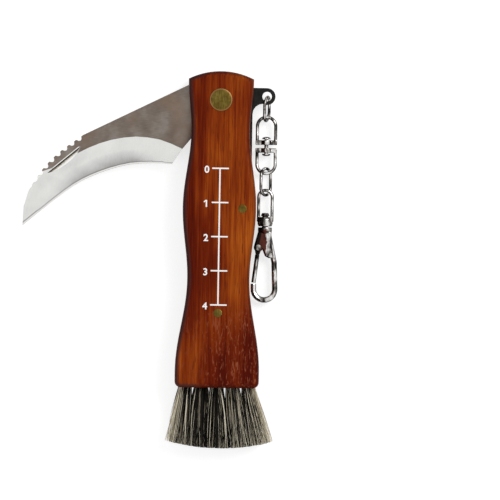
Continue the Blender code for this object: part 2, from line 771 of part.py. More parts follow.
def bow_line(half, top, height, direction):
    """A bow's centre line in the chain's plane: two legs and an arch whose crown is at top."""
    arch = arc((0, -half), half, 0, math.pi, WIRE_ARC_STEPS)
    flat = [(half, -height)] + arch + [(-half, -height)]
    return [(CHAIN_X + x, top + direction * y, CHAIN_FLOOR) for x, y in flat]


def along_chain(obj, y):
    """Stands a piece turned about Z on the chain's line, with its own +Z along +Y."""
    obj.rotation_euler = (-math.pi / 2, 0, 0)
    obj.location = (CHAIN_X, y, CHAIN_FLOOR)
    return obj


def swivel_plate(name, half, radius, thickness):
    """A flat bar with a round boss in its middle, square across the chain."""
    bar_half = half + BOW_WIRE
    angle = math.asin(BOW_WIRE * 2 / radius)
    right = arc((0, 0), radius, -math.pi + angle, -angle, CORNER_STEPS)
    left = arc((0, 0), radius, angle, math.pi - angle, CORNER_STEPS)
    ends = [(bar_half, -BOW_WIRE), (bar_half, BOW_WIRE)]
    far_ends = [(-bar_half, BOW_WIRE), (-bar_half, -BOW_WIRE)]
    outline = right + ends + left + far_ends
    return add_mesh(name, extruded(outline, -thickness / 2, thickness / 2), nickel())


def swivel_bow(name, crown, direction, plate_middle):
    height = abs(crown - plate_middle)
    obj = wire(name, bow_line(BOW_HALF_WIDTH, crown, height, direction), BOW_WIRE, nickel(), closed=False)
    plate = swivel_plate(f"{name}_plate", BOW_HALF_WIDTH, SWIVEL_PLATE_RADIUS, SWIVEL_PLATE)
    join(obj, along_chain(plate, plate_middle))
    hole = rod_profile(RIVET_RADIUS + PIN_GAP, -SWIVEL_PLATE, SWIVEL_PLATE)
    tool = add_mesh(f"{name}_rivet_hole", turned(hole, SMALL_ROUND_SIDES), None)
    return cut(obj, along_chain(tool, plate_middle))


def swivel():
    upper_middle = UPPER_PLATE_FLOOR + SWIVEL_PLATE / 2
    lower_middle = LOWER_PLATE_TOP - SWIVEL_PLATE / 2
    swivel_bow("swivel_upper_bow", BOW_TOP, 1, upper_middle)
    swivel_bow("swivel_lower_bow", LOWER_BOW_BOTTOM, -1, lower_middle)
    # The rivet hangs from its upper head and carries the lower bow on its lower one
    head_floor = UPPER_PLATE_FLOOR + SWIVEL_PLATE + FACE_GAP
    lower_head_top = LOWER_PLATE_TOP - SWIVEL_PLATE - FACE_GAP
    length = head_floor - lower_head_top
    profile = (
        (0, RIVET_HEAD),
        (RIVET_HEAD_RADIUS * DOME_SHARE, RIVET_HEAD),
        (RIVET_HEAD_RADIUS, RIVET_HEAD * DOME_EDGE_SHARE),
        (RIVET_HEAD_RADIUS, 0),
        (RIVET_RADIUS, 0),
        (RIVET_RADIUS, -length),
        (RIVET_HEAD_RADIUS, -length),
        (RIVET_HEAD_RADIUS, -length - RIVET_HEAD * DOME_EDGE_SHARE),
        (RIVET_HEAD_RADIUS * DOME_SHARE, -length - RIVET_HEAD),
        (0, -length - RIVET_HEAD),
    )
    along_chain(add_mesh("swivel_rivet", turned(profile, SMALL_ROUND_SIDES), nickel()), head_floor)


def chain_link():
    """The oval link between the swivel and the clasp, turned so that it grips both bows."""
    turn = Matrix.Rotation(LINK_TURN, 3, "Y")
    origin = (CHAIN_X, LINK_TOP, CHAIN_FLOOR)
    wire("chain_link", placed(oval(LINK_HALF_WIDTH, LINK_LENGTH), turn, origin), RING_WIRE, nickel(), closed=True)


def clasp_eye():
    """The clasp's bow, with the collar that its stem turns in."""
    arch = arc((0, -EYE_ARCH_RADIUS), EYE_ARCH_RADIUS, 0, math.pi, WIRE_ARC_STEPS)
    foot = (EYE_TOP - COLLAR_TOP) + COLLAR / 2
    leg_x = min(EYE_HALF_WIDTH, COLLAR_RADIUS - BOW_WIRE / 2)
    flat = [(leg_x, -foot)] + arch + [(-leg_x, -foot)]
    line = [(CHAIN_X + x, EYE_TOP + y, CHAIN_FLOOR) for x, y in flat]
    obj = wire("clasp_eye", line, BOW_WIRE, nickel(), closed=False)
    end_radius = COLLAR_RADIUS * COLLAR_END_SHARE
    bulge = [(COLLAR_RADIUS, COLLAR * share) for share in COLLAR_BULGE_SHARES]
    barrel = [(0, 0), (end_radius, 0), *bulge, (end_radius, COLLAR), (0, COLLAR)]
    collar = add_mesh("collar", turned(barrel, ROUND_SIDES), nickel())
    join(obj, along_chain(collar, COLLAR_FLOOR))
    bore = rod_profile(STEM_RADIUS + PIN_GAP, -CUT_OVERRUN, COLLAR + CUT_OVERRUN)
    tool = add_mesh("collar_bore", turned(bore, SMALL_ROUND_SIDES), None)
    return cut(obj, along_chain(tool, COLLAR_FLOOR))


def flat_clasp(points):
    """Clasp points (side, drop) in the chain's plane; a positive side is away from the handle."""
    return [(CHAIN_X + x, CLASP_TOP - drop) for x, drop in points]


def clasp_hook():
    """The clasp's body: stem, neck disc, cheeks for the gate, and the hook bent round to its nose."""
    crown = HOOK_LENGTH - HOOK_WIRE
    bow_radius = HOOK_HALF_WIDTH
    nose_drop = GATE_PIVOT_DROP + GATE_LENGTH_TO_NOSE + FACE_GAP
    down = crown - bow_radius
    bend = [(x, -y) for x, y in arc((0, -down), bow_radius, 0, -math.pi, 2 * WIRE_ARC_STEPS)]
    bar = [(HOOK_BAR_TOP_X, HOOK_BAR_TOP_DROP), (HOOK_BAR_KNEE_X, HOOK_BAR_KNEE_DROP)]
    route = bar + bend + [(-HOOK_HALF_WIDTH, nose_drop)]
    line = [(x, y, CHAIN_FLOOR) for x, y in flat_clasp(route)]
    obj = wire("clasp_hook", line, HOOK_WIRE, nickel(), closed=False)

    pivot = flat_clasp([(-GATE_PIVOT_X, GATE_PIVOT_DROP)])[0]
    cheek_arc = arc(pivot, CLASP_CHEEK_RADIUS, CHEEK_START, CHEEK_END, 2 * CORNER_STEPS)
    web_share = (CLASP_WEB_DROP - HOOK_BAR_TOP_DROP) / (HOOK_BAR_KNEE_DROP - HOOK_BAR_TOP_DROP)
    web_bar_x = HOOK_BAR_TOP_X + (HOOK_BAR_KNEE_X - HOOK_BAR_TOP_X) * web_share
    web = flat_clasp([(CLASP_WEB_X, CLASP_WEB_CORNER_DROP), (CLASP_WEB_FLAT, CLASP_WEB_DROP), (web_bar_x, CLASP_WEB_DROP)])
    shoulders = flat_clasp([(HOOK_BAR_TOP_X + HOOK_WIRE, CLASP_SHOULDER), (CLASP_SHOULDER, 0), (-CLASP_SHOULDER, 0)])
    low = CHAIN_FLOOR - CLASP_BODY_HALF_THICKNESS
    high = CHAIN_FLOOR + CLASP_BODY_HALF_THICKNESS

    def build_body(filling):
        extruded(cheek_arc + web + shoulders, low, high)(filling)
        rims = [e for e in filling.edges if abs(e.verts[0].co.z - e.verts[1].co.z) < WELD]
        bmesh.ops.bevel(filling, geom=rims, offset=CLASP_BODY_ROUNDING, segments=1, profile=0.5, affect="EDGES")

    join(obj, add_mesh("clasp_body", build_body, nickel()))
    neck_height = NECK_DISC + WIRE_GAP + COLLAR + WIRE_GAP
    profile = (
        (0, -HOOK_WIRE),
        (NECK_DISC_RADIUS * DOME_SHARE, -HOOK_WIRE),
        (NECK_DISC_RADIUS, 0),
        (NECK_DISC_RADIUS, NECK_DISC),
        (STEM_RADIUS, NECK_DISC),
        (STEM_RADIUS, neck_height),
        (STEM_HEAD_RADIUS, neck_height),
        (STEM_HEAD_RADIUS * DOME_SHARE, neck_height + STEM_HEAD),
        (0, neck_height + STEM_HEAD),
    )
    join(obj, along_chain(add_mesh("clasp_stem", turned(profile, ROUND_SIDES), nickel()), CLASP_TOP))

    slot_half = GATE_PLATE_HALF_THICKNESS + PIN_GAP
    reach = GATE_PIVOT_X + CLASP_CHEEK_RADIUS + CUT_OVERRUN
    floor_drop = GATE_PIVOT_DROP + CLASP_CHEEK_RADIUS + CUT_OVERRUN
    inner = HOOK_BAR_TOP_X - HOOK_WIRE
    slot = flat_clasp([(-reach, GATE_SLOT_TOP_DROP), (-reach, floor_drop), (inner, floor_drop), (inner, GATE_SLOT_TOP_DROP)])
    cut(obj, add_mesh("gate_slot", extruded(slot, CHAIN_FLOOR - slot_half, CHAIN_FLOOR + slot_half), None))
    drill(obj, "cheek_hole", *pivot, GATE_PIN_RADIUS + PIN_GAP, low - CUT_OVERRUN, high + CUT_OVERRUN)


def clasp_gate():
    """The gate that closes the hook: a flat root between the cheeks, and a round bar to the nose."""
    pivot = flat_clasp([(-GATE_PIVOT_X, GATE_PIVOT_DROP)])[0]
    end_drop = GATE_PIVOT_DROP + GATE_LENGTH_TO_NOSE
    bar_top_x = -GATE_PIVOT_X - (HOOK_HALF_WIDTH - GATE_PIVOT_X) * GATE_BAR_TOP_SHARE
    line = flat_clasp([(bar_top_x, GATE_BAR_TOP_DROP), (-HOOK_HALF_WIDTH, end_drop)])
    local = [(x - pivot[0], y - pivot[1], 0) for x, y in line]
    obj = wire("clasp_gate", local, GATE_BAR_WIRE, nickel(), closed=False)
    foot_x, foot_y = local[0][0], local[0][1] - GATE_BAR_WIRE
    root = arc((0, 0), GATE_ROOT_RADIUS, 0, math.pi, 2 * CORNER_STEPS)
    root += [(foot_x - GATE_BAR_WIRE / 2, foot_y), (foot_x + GATE_BAR_WIRE / 2, foot_y)]
    plate = add_mesh("gate_root", extruded(root, -GATE_PLATE_HALF_THICKNESS, GATE_PLATE_HALF_THICKNESS), nickel())
    plate.parent = obj
    join(obj, plate)
    bore = rod_profile(GATE_PIN_RADIUS + PIN_GAP, -CUT_OVERRUN, CUT_OVERRUN)
    tool = add_mesh("gate_bore", turned(bore, SMALL_ROUND_SIDES), None)
    tool.parent = obj
    cut(obj, tool)
    obj.location = (*pivot, CHAIN_FLOOR)


def gate_pin():
    pivot = flat_clasp([(-GATE_PIVOT_X, GATE_PIVOT_DROP)])[0]
    head = CLASP_BODY_HALF_THICKNESS + PIN_GAP
    profile = (
        (0, -head - GATE_PIN_HEAD),
        (GATE_PIN_HEAD_RADIUS, -head - GATE_PIN_HEAD),
        (GATE_PIN_HEAD_RADIUS, -head),
        (GATE_PIN_RADIUS, -head),
        (GATE_PIN_RADIUS, head),
        (GATE_PIN_HEAD_RADIUS, head),
        (GATE_PIN_HEAD_RADIUS, head + GATE_PIN_HEAD),
        (0, head + GATE_PIN_HEAD),
    )
    obj = add_mesh("gate_pin", turned(profile, SMALL_ROUND_SIDES), nickel())
    obj.location = (*pivot, CHAIN_FLOOR)


def main():
    clear_scene()
    back = scale("scale_back", 0, 0)
    drill_scale(back, 0, 0)
    front = scale("scale_front", FRONT_SCALE_FLOOR, HANDLE_THICKNESS)
    drill_scale(front, FRONT_SCALE_FLOOR, HANDLE_THICKNESS)
    back_liner = liner("liner_back", BACK_LINER_FLOOR, metal_back)
    add_lug(back_liner, BACK_LINER_FLOOR)
    drill_liner(back_liner, BACK_LINER_FLOOR)
    front_liner = liner("liner_front", FRONT_LINER_FLOOR, metal_half_width)
    drill_liner(front_liner, FRONT_LINER_FLOOR)
    pivot_pin()
    plain_pins()
    back_spring()
    blade()
    brush_block()
    bristles()
    lug_ring()
    swivel()
    chain_link()
    clasp_eye()
    clasp_hook()
    clasp_gate()
    gate_pin()


main()
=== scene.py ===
"""The looks of a folding mushroom knife: wooden scales, hooked blade, brush, and a swivel clasp on a chain.

All places are in metres in the knife's own frame: it lies on its back scale, +X runs across the
handle to the lug, +Y from the brush to the pivot, and +Z out of the front scale.
"""

import math

import bmesh
import bpy
import numpy as np
from mathutils import Matrix, Vector


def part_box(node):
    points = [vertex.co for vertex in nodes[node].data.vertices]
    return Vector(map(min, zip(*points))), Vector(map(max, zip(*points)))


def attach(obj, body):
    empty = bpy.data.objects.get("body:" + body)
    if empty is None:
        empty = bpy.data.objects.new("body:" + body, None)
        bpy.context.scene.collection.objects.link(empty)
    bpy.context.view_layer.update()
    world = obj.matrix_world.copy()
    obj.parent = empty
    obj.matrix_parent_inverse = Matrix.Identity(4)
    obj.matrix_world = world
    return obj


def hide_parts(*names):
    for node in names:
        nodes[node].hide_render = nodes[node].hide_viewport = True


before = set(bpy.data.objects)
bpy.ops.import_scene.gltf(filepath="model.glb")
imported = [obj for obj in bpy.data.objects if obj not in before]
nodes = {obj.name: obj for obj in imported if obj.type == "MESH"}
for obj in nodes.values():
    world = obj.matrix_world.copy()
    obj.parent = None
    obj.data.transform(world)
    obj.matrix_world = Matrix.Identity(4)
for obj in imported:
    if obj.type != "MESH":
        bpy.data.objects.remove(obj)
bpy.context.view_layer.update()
MM = 0.001

# --- The table, the camera and the lamps -----------------------------------------------------
# The knife lies on a white table and is seen from straight above through a long lens, under one
# large soft lamp from the upper right and a weaker one from the left.

# The photograph's side in pixels, and how much of the knife's top one pixel covers
PHOTO_SIDE = 500
PHOTO_PIXEL = 0.2941 * MM
CAMERA_PLACE = (9.19 * MM, -5.88 * MM)
CAMERA_HEIGHT = 4.0
KNIFE_TOP = 13.2 * MM
CAMERA_TURN = 0.0162
SENSOR_WIDTH = 36.0
TABLE_WIDTH = 3.0
TABLE_DROP = 0.05 * MM
TABLE_WHITE = 0.5
TABLE_GLOW = 0.70
# How brightly the white room lights the knife, and how bright it looks itself and in polished metal
WORLD_LEVEL = 0.52
SEEN_LEVEL = 1.0


def new_finish(name):
    """A new material: itself, its node tree and its shader."""
    made = bpy.data.materials.new(name)
    made.use_nodes = True
    return made, made.node_tree, made.node_tree.nodes["Principled BSDF"]


def feed(tree, node, given):
    """Gives a node's inputs numbers, colours, vectors or other nodes' sockets."""
    for slot, value in given.items():
        if isinstance(value, bpy.types.NodeSocket):
            tree.links.new(value, node.inputs[slot])
        elif isinstance(value, tuple):
            node.inputs[slot].default_value = (*value, 1)[: len(node.inputs[slot].default_value)]
        else:
            node.inputs[slot].default_value = value


def worked(tree, operation, first, second=0.0):
    """A Math node on two sockets or numbers."""
    made = tree.nodes.new("ShaderNodeMath")
    made.operation = operation
    feed(tree, made, {0: first, 1: second})
    return made.outputs[0]


def plus(tree, first, second):
    """The sum of two sockets or numbers, as less is their difference and times their product."""
    return worked(tree, "ADD", first, second)


def less(tree, first, second):
    return worked(tree, "SUBTRACT", first, second)


def times(tree, first, second):
    return worked(tree, "MULTIPLY", first, second)


def seen_directly(tree):
    """One where the ray comes from the camera, a mirror or glass, and none where it only lights."""
    path = tree.nodes.new("ShaderNodeLightPath").outputs
    mirrored = worked(tree, "MAXIMUM", path["Is Camera Ray"], path["Is Glossy Ray"])
    return worked(tree, "MAXIMUM", mirrored, path["Is Transmission Ray"])


def soft_lamp(name, place, width, watts):
    """A square lamp that faces the middle of the handle."""
    bpy.ops.object.light_add(type="AREA", location=place)
    lamp = bpy.context.object
    lamp.name = name
    lamp.data.size = width
    lamp.data.energy = watts
    lamp.rotation_euler = (-Vector(place)).to_track_quat("-Z", "Y").to_euler()


bpy.context.scene.view_settings.view_transform = "Standard"
bpy.ops.object.select_all(action="DESELECT")
bpy.ops.object.camera_add(location=(*CAMERA_PLACE, CAMERA_HEIGHT), rotation=(0, 0, CAMERA_TURN))
camera = bpy.context.object
camera.name = "camera"
camera.data.sensor_width = SENSOR_WIDTH
camera.data.lens = SENSOR_WIDTH * (CAMERA_HEIGHT - KNIFE_TOP) / (PHOTO_SIDE * PHOTO_PIXEL)
camera.data.clip_end = 5 * CAMERA_HEIGHT
bpy.context.scene.camera = camera

soft_lamp("window_lamp", place=(0.42, 0.30, 0.62), width=0.42, watts=3.4)
soft_lamp("side_lamp", place=(-0.55, -0.10, 0.50), width=0.30, watts=1.0)

world = bpy.data.worlds.new("white_room")
world.use_nodes = True
bpy.context.scene.world = world
room = world.node_tree
room.nodes.clear()
either = room.nodes.new("ShaderNodeMixShader")
feed(room, either, {"Fac": seen_directly(room)})
for slot, level in ((1, WORLD_LEVEL), (2, SEEN_LEVEL)):
    light = room.nodes.new("ShaderNodeBackground")
    feed(room, light, {"Color": (1, 1, 1), "Strength": level})
    feed(room, either, {slot: light.outputs[0]})
feed(room, room.nodes.new("ShaderNodeOutputWorld"), {"Surface": either.outputs[0]})

bpy.ops.mesh.primitive_plane_add(size=TABLE_WIDTH, location=(0, 0, -TABLE_DROP))
table = bpy.context.object
table.name = "table_top"
bpy.ops.object.transform_apply(location=True, rotation=True, scale=True)
paint, tree, shader = new_finish("white_table")
feed(tree, shader, {"Base Color": (TABLE_WHITE,) * 3, "Roughness": 0.9, "Specular IOR Level": 0.0})
glow = tree.nodes.new("ShaderNodeEmission")
feed(tree, glow, {"Strength": times(tree, seen_directly(tree), TABLE_GLOW)})
both = tree.nodes.new("ShaderNodeAddShader")
feed(tree, both, {0: shader.outputs[0], 1: glow.outputs[0]})
feed(tree, tree.nodes["Material Output"], {"Surface": both.outputs[0]})
table.data.materials.append(paint)

# --- The wooden scales -----------------------------------------------------------------------
# Two slabs of oiled red-brown hardwood, sawn to a wavy outline with a crowned top, drilled for the
# pins and rounded over along the outer edge by hand.

SCALE_THICKNESS = 4.0 * MM
FRONT_SCALE_FLOOR = 9.2 * MM
FRONT_FACE = KNIFE_TOP
HANDLE_FOOT = -46.6 * MM
SHOULDER = 44.3 * MM
SHOULDER_HALF = 9.6 * MM
CROWN = 2.3 * MM
# Few enough that each step is longer than the edge rounding takes from the corner
CROWN_STEPS = 16
BUTT_CORNER = 1.8 * MM
EDGE_ROUNDING = 1.7 * MM
# Heights along the side, and the handle's half width there
SIDE_STATIONS = (
    (-41.9 * MM, 12.4 * MM), (-14.5 * MM, 9.15 * MM), (6.3 * MM, 10.8 * MM), (29.3 * MM, 8.6 * MM),
    (SHOULDER, SHOULDER_HALF),
)
CORNER_STEPS = 8
SIDE_STEPS = 60
PIVOT_PLACE = (0.0, 38.2 * MM)
PIVOT_HOLE = 3.40 * MM
PIN_PLACES = ((6.8 * MM, 6.2 * MM), (0.0, -24.6 * MM))
PIN_HOLE = 1.275 * MM
CUT_OVERRUN = 1.0 * MM
ROUND_SIDES = 64
THIN_ROUND_SIDES = 40
MERGE_DISTANCE = 0.002 * MM
NEAR = 0.01 * MM


def only(piece):
    """Leaves this piece alone selected and active, which is what an operator acts on."""
    bpy.ops.object.select_all(action="DESELECT")
    piece.select_set(True)
    bpy.context.view_layer.objects.active = piece
    return piece


def choose(kind, test):
    """In edit mode, selects the points, edges or faces whose every corner passes the test."""
    bpy.context.tool_settings.mesh_select_mode = (kind == "VERT", kind == "EDGE", kind == "FACE")
    shape = bmesh.from_edit_mesh(bpy.context.object.data)
    shape.select_mode = {kind}
    for parts in (shape.faces, shape.edges, shape.verts):
        for part in parts:
            part.select = False
    for part in {"VERT": shape.verts, "EDGE": shape.edges, "FACE": shape.faces}[kind]:
        corners = [part] if kind == "VERT" else part.verts
        if all(test(corner.co) for corner in corners):
            part.select_set(True)
    shape.select_flush_mode()
    bmesh.update_edit_mesh(bpy.context.object.data)


def settle(piece):
    """Puts the piece's place, turn and scale into its mesh."""
    only(piece)
    bpy.ops.object.transform_apply(location=True, rotation=True, scale=True)
    return piece


def modify(piece, kind, **settings):
    """Adds a modifier and applies it."""
    only(piece)
    added = piece.modifiers.new(kind.lower(), kind)
    for setting, value in settings.items():
        setattr(added, setting, value)
    bpy.ops.object.modifier_apply(modifier=added.name)
    return piece


def smooth(piece, degrees=32):
    """Shades smoothly over edges that turn by less than this."""
    only(piece)
    bpy.ops.object.shade_smooth_by_angle(angle=math.radians(degrees))
    return piece


def rework(piece, operator, **settings):
    """Runs one edit-mode operator on the whole mesh."""
    only(piece)
    bpy.ops.object.mode_set(mode="EDIT")
    bpy.ops.mesh.select_all(action="SELECT")
    operator(**settings)
    bpy.ops.object.mode_set(mode="OBJECT")
    return piece


def outwards(piece):
    """Merges doubled points and turns every face outwards."""
    rework(piece, bpy.ops.mesh.remove_doubles, threshold=MERGE_DISTANCE)
    return rework(piece, bpy.ops.mesh.normals_make_consistent, inside=False)


def shaped_by(piece, operation, *tools):
    """Joins tools to a piece, or cuts it with them, and throws them away."""
    for tool in tools:
        modify(piece, "BOOLEAN", operation=operation, solver="EXACT", object=tool)
        bpy.data.objects.remove(tool, do_unlink=True)
    return piece


def coat(piece, *finishes):
    """Gives a piece these materials and no others."""
    piece.data.materials.clear()
    for finish in finishes:
        piece.data.materials.append(finish)
    return piece


def turned_rod(name, place, radius, low, high, sides):
    """An upright round rod."""
    middle = (*place, (low + high) / 2)
    bpy.ops.mesh.primitive_cylinder_add(vertices=sides, radius=radius, depth=high - low, location=middle)
    rod = settle(bpy.context.object)
    rod.name = name
    return rod


def handle_half(y):
    """The handle's half width at a height, in waves between its waists and bellies."""
    foot, foot_half = SIDE_STATIONS[0]
    if y <= foot:
        over = min(0.0, y - HANDLE_FOOT - BUTT_CORNER)
        return foot_half - BUTT_CORNER + math.sqrt(BUTT_CORNER**2 - over**2)
    for (low, start), (high, end) in zip(SIDE_STATIONS, SIDE_STATIONS[1:]):
        if y <= high:
            return start + (end - start) * (1 - math.cos(math.pi * (y - low) / (high - low))) / 2
    return SHOULDER_HALF


def handle_outline():
    """Points round the handle, anticlockwise from the butt's right corner."""
    turns = np.linspace(0, math.pi / 2, CORNER_STEPS)[:-1]
    corner = [HANDLE_FOOT + BUTT_CORNER * (1 - math.cos(turn)) for turn in turns]
    sides = list(np.linspace(HANDLE_FOOT + BUTT_CORNER, SHOULDER, SIDE_STEPS))
    right = [(handle_half(y), y) for y in corner + sides]
    radius = (SHOULDER_HALF**2 + CROWN**2) / (2 * CROWN)
    reach = math.asin(SHOULDER_HALF / radius)
    middle = SHOULDER + CROWN - radius
    turns = np.linspace(reach, -reach, CROWN_STEPS)[1:-1]
    crown = [(radius * math.sin(turn), middle + radius * math.cos(turn)) for turn in turns]
    return right + crown + [(-x, y) for x, y in reversed(right)]


def extrude(x, y, z):
    """In edit mode, draws what is selected out by this much."""
    bpy.ops.mesh.extrude_region_move(TRANSFORM_OT_translate={"value": (x, y, z)})


def sawn_plate(name, outline, low, high):
    """A disc whose rim points are drawn out to an outline, then given its thickness."""
    bpy.ops.mesh.primitive_circle_add(vertices=len(outline), radius=1, fill_type="NGON", location=(0, 0, 0))
    piece = bpy.context.object
    piece.name = name
    rim = [corner.co.copy() for corner in piece.data.vertices]
    turning = sum(a.x * b.y - b.x * a.y for a, b in zip(rim, rim[1:]))
    targets = outline if turning > 0 else outline[::-1]
    bpy.ops.object.mode_set(mode="EDIT")
    for start, target in zip(rim, targets):
        choose("VERT", lambda co: (co - start).length < NEAR)
        bpy.ops.transform.translate(value=(target[0] - start.x, target[1] - start.y, low))
    bpy.ops.mesh.select_all(action="SELECT")
    extrude(0, 0, high - low)
    bpy.ops.object.mode_set(mode="OBJECT")
    return outwards(piece)


def round_over(piece, face, width, segments):
    """Rounds the edge round the face that lies at this height."""
    only(piece)
    bpy.ops.object.mode_set(mode="EDIT")
    choose("EDGE", lambda co: abs(co.z - face) < NEAR)
    bpy.ops.mesh.bevel(offset=width, segments=segments, profile=0.5, affect="EDGES", clamp_overlap=False)
    bpy.ops.object.mode_set(mode="OBJECT")


def wooden_scale(name, low, outer_face):
    """One scale: sawn, rounded over along its outer face, and drilled."""
    piece = sawn_plate(name, handle_outline(), low, low + SCALE_THICKNESS)
    round_over(piece, outer_face, EDGE_ROUNDING, segments=7)
    below, above = low - CUT_OVERRUN, low + SCALE_THICKNESS + CUT_OVERRUN
    holes = [turned_rod("drill", PIVOT_PLACE, PIVOT_HOLE, below, above, ROUND_SIDES)]
    for place in PIN_PLACES:
        holes.append(turned_rod("drill", place, PIN_HOLE, below, above, THIN_ROUND_SIDES))
    return smooth(shaped_by(piece, "DIFFERENCE", *holes))


def ramp(tree, stops, source):
    """A colour ramp, given as (place, colour) pairs, on a value."""
    made = tree.nodes.new("ShaderNodeValToRGB")
    band = made.color_ramp
    while len(band.elements) < len(stops):
        band.elements.new(0.5)
    for element, (place, colour) in zip(band.elements, stops):
        element.position = place
        element.color = (*colour, 1)
    feed(tree, made, {"Fac": source})
    return made.outputs["Color"]


def noise(tree, scales, detail, roughness=0.5, distortion=0.0, place=(0, 0, 0), turn=(0, 0, 0)):
    """Noise on the piece's own coordinates, with so many waves a metre along each axis."""
    where = tree.nodes.new("ShaderNodeTexCoord").outputs["Object"]
    stretch = tree.nodes.new("ShaderNodeMapping")
    feed(tree, stretch, {"Vector": where, "Scale": scales, "Location": place, "Rotation": turn})
    made = tree.nodes.new("ShaderNodeTexNoise")
    feed(tree, made, {"Vector": stretch.outputs["Vector"], "Scale": 1.0, "Detail": detail})
    feed(tree, made, {"Roughness": roughness, "Distortion": distortion})
    return made.outputs["Fac"]


def stretched(tree, value, low, high, to_low=0.0, to_high=1.0):
    """Carries a value from one range to another, held at the ends."""
    made = tree.nodes.new("ShaderNodeMapRange")
    feed(tree, made, {"Value": value, "From Min": low, "From Max": high, "To Min": to_low, "To Max": to_high})
    return made.outputs["Result"]


def axes(tree):
    """The piece's own three coordinates."""
    split = tree.nodes.new("ShaderNodeSeparateXYZ")
    feed(tree, split, {0: tree.nodes.new("ShaderNodeTexCoord").outputs["Object"]})
    return split.outputs


def blend_colours(tree, share, first, second):
    """Mixes two colours by a share of the second."""
    made = tree.nodes.new("ShaderNodeMix")
    made.data_type = "RGBA"
    feed(tree, made, {0: share, 6: first, 7: second})
    return made.outputs[2]


def bumped(tree, shader, height, distance, strength):
    """Bump from a height that is counted in this distance."""
    made = tree.nodes.new("ShaderNodeBump")
    feed(tree, made, {"Height": height, "Distance": distance, "Strength": strength})
    feed(tree, shader, {"Normal": made.outputs["Normal"]})


def oiled_hardwood():
    """Straight red-brown grain, with painted light making it paler on the right and painted shade darkening
    the rounding, crossed in the butt.
    """
    finish, tree, shader = new_finish("oiled_hardwood")
    x, y, z = axes(tree)
    bands = noise(tree, (520, 17, 520), 4, 0.65, 0.4)
    fibres = noise(tree, (2400, 80, 2400), 3, 0.6, place=(3, 1, 7))
    clouds = noise(tree, (90, 42, 90), 2, 0.5, place=(5, 2, 0))
    # Painted light: paler on the right above, where the lamp falls; paler on the left in the butt, where the
    # figure is
    side = stretched(tree, x, -10 * MM, 10 * MM, -0.17, 0.20)
    side = times(tree, side, stretched(tree, y, -18 * MM, -34 * MM, 1.0, -0.45))
    # Darker towards both ends, and most in the butt's middle
    level = stretched(tree, y, -14 * MM, -30 * MM, 0.0, -0.07)
    level = plus(tree, level, stretched(tree, y, 22 * MM, 36 * MM, 0.0, -0.10))
    heart = stretched(tree, worked(tree, "ABSOLUTE", plus(tree, x, 0.5 * MM)), 6.5 * MM, 2.5 * MM)
    heart = times(tree, heart, stretched(tree, y, -28 * MM, -37 * MM, 0.0, 0.15))
    level = less(tree, level, heart)
    mix = plus(tree, times(tree, bands, 0.72), times(tree, fibres, 0.40))
    mix = plus(tree, mix, times(tree, clouds, 0.50))
    mix = less(tree, plus(tree, mix, plus(tree, side, level)), 0.205)
    tone = ramp(tree, (
        (0.34, (0.068, 0.004, 0.0006)), (0.52, (0.130, 0.012, 0.0012)),
        (0.68, (0.225, 0.035, 0.0030)), (0.88, (0.40, 0.092, 0.008)),
    ), mix)
    pores = stretched(tree, noise(tree, (5200, 240, 5200), 1, 0.4, place=(9, 4, 2)), 0.62, 0.72)
    tone = blend_colours(tree, times(tree, pores, 0.6), tone, (0.035, 0.004, 0.002))
    # The crossed figure runs aslant in the lower half
    figure = noise(tree, (1700, 300, 1700), 2, 0.6, 1.4, place=(1, 8, 3), turn=(0, 0, 0.50))
    low_part = stretched(tree, y, -20 * MM, -28 * MM)
    low_part = times(tree, low_part, stretched(tree, x, -6 * MM, 0.0, 0.25, 1.0))
    figured = times(tree, times(tree, stretched(tree, figure, 0.56, 0.64), low_part), 0.72)
    tone = blend_colours(tree, figured, tone, (0.27, 0.075, 0.034))
    # Painted shade with a painted greyish reflection turns the whole rounding on the blade's side a greyer
    # brown
    depth = worked(tree, "ABSOLUTE", less(tree, z, FRONT_FACE / 2))
    worn = stretched(tree, depth, FRONT_FACE / 2 - 0.02 * MM, FRONT_FACE / 2 - 0.28 * MM, 0.0, 0.72)
    worn = times(tree, worn, stretched(tree, x, -4 * MM, -7 * MM))
    tone = blend_colours(tree, worn, tone, (0.060, 0.023, 0.020))
    # and more painted shade darkens it further down, from below the flat face to the liners, most on the
    # blade's side
    painted_edge_shade = stretched(tree, depth, FRONT_FACE / 2 - 0.10 * MM, FRONT_FACE / 2 - 0.7 * MM)
    edge_shade_strength = stretched(tree, x, -4 * MM, 8 * MM, 0.80, 0.45)
    edge_shade_strength = times(tree, edge_shade_strength, stretched(tree, y, -43 * MM, -46 * MM, 1.0, 0.25))
    tone = blend_colours(tree, times(tree, painted_edge_shade, edge_shade_strength), tone, (0.030, 0.004, 0.003))
    feed(tree, shader, {"Base Color": tone, "Roughness": stretched(tree, fibres, 0.3, 0.7, 0.40, 0.28)})
    feed(tree, shader, {"Specular IOR Level": 0.025, "Coat Weight": 0.02, "Coat Roughness": 0.15})
    bumped(tree, shader, less(tree, fibres, pores), 0.03 * MM, 0.6)
    return finish


hardwood = oiled_hardwood()
for scale_name, node_name, scale_floor, scale_face in (
    ("front_scale_wood", "scale_front", FRONT_SCALE_FLOOR, FRONT_FACE),
    ("back_scale_wood", "scale_back", 0.0, 0.0),
):
    scale_piece = wooden_scale(scale_name, scale_floor, scale_face)
    coat(scale_piece, hardwood)
    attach(scale_piece, "handle")
    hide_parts(node_name)

# --- The ruler print -------------------------------------------------------------------------
# A plain scale of four divisions, printed in white on the front scale: one long line, five
# strokes across it, and the figures 0 to 4 beside them.

PRINT_THICKNESS = 0.02 * MM
PRINT_X = 0.0
PRINT_TOP = 18.0 * MM
DIVISION = 10.05 * MM
STROKE = 0.42 * MM
STROKE_LEFT = -2.3 * MM
STROKE_RIGHT = 2.6 * MM
FIGURE_X = -3.85 * MM
FIGURE_DROP = 0.45 * MM
FIGURE_SIZE = 2.85 * MM
FIGURE_WEIGHT = 0.07 * MM
LAST_FIGURE = 4
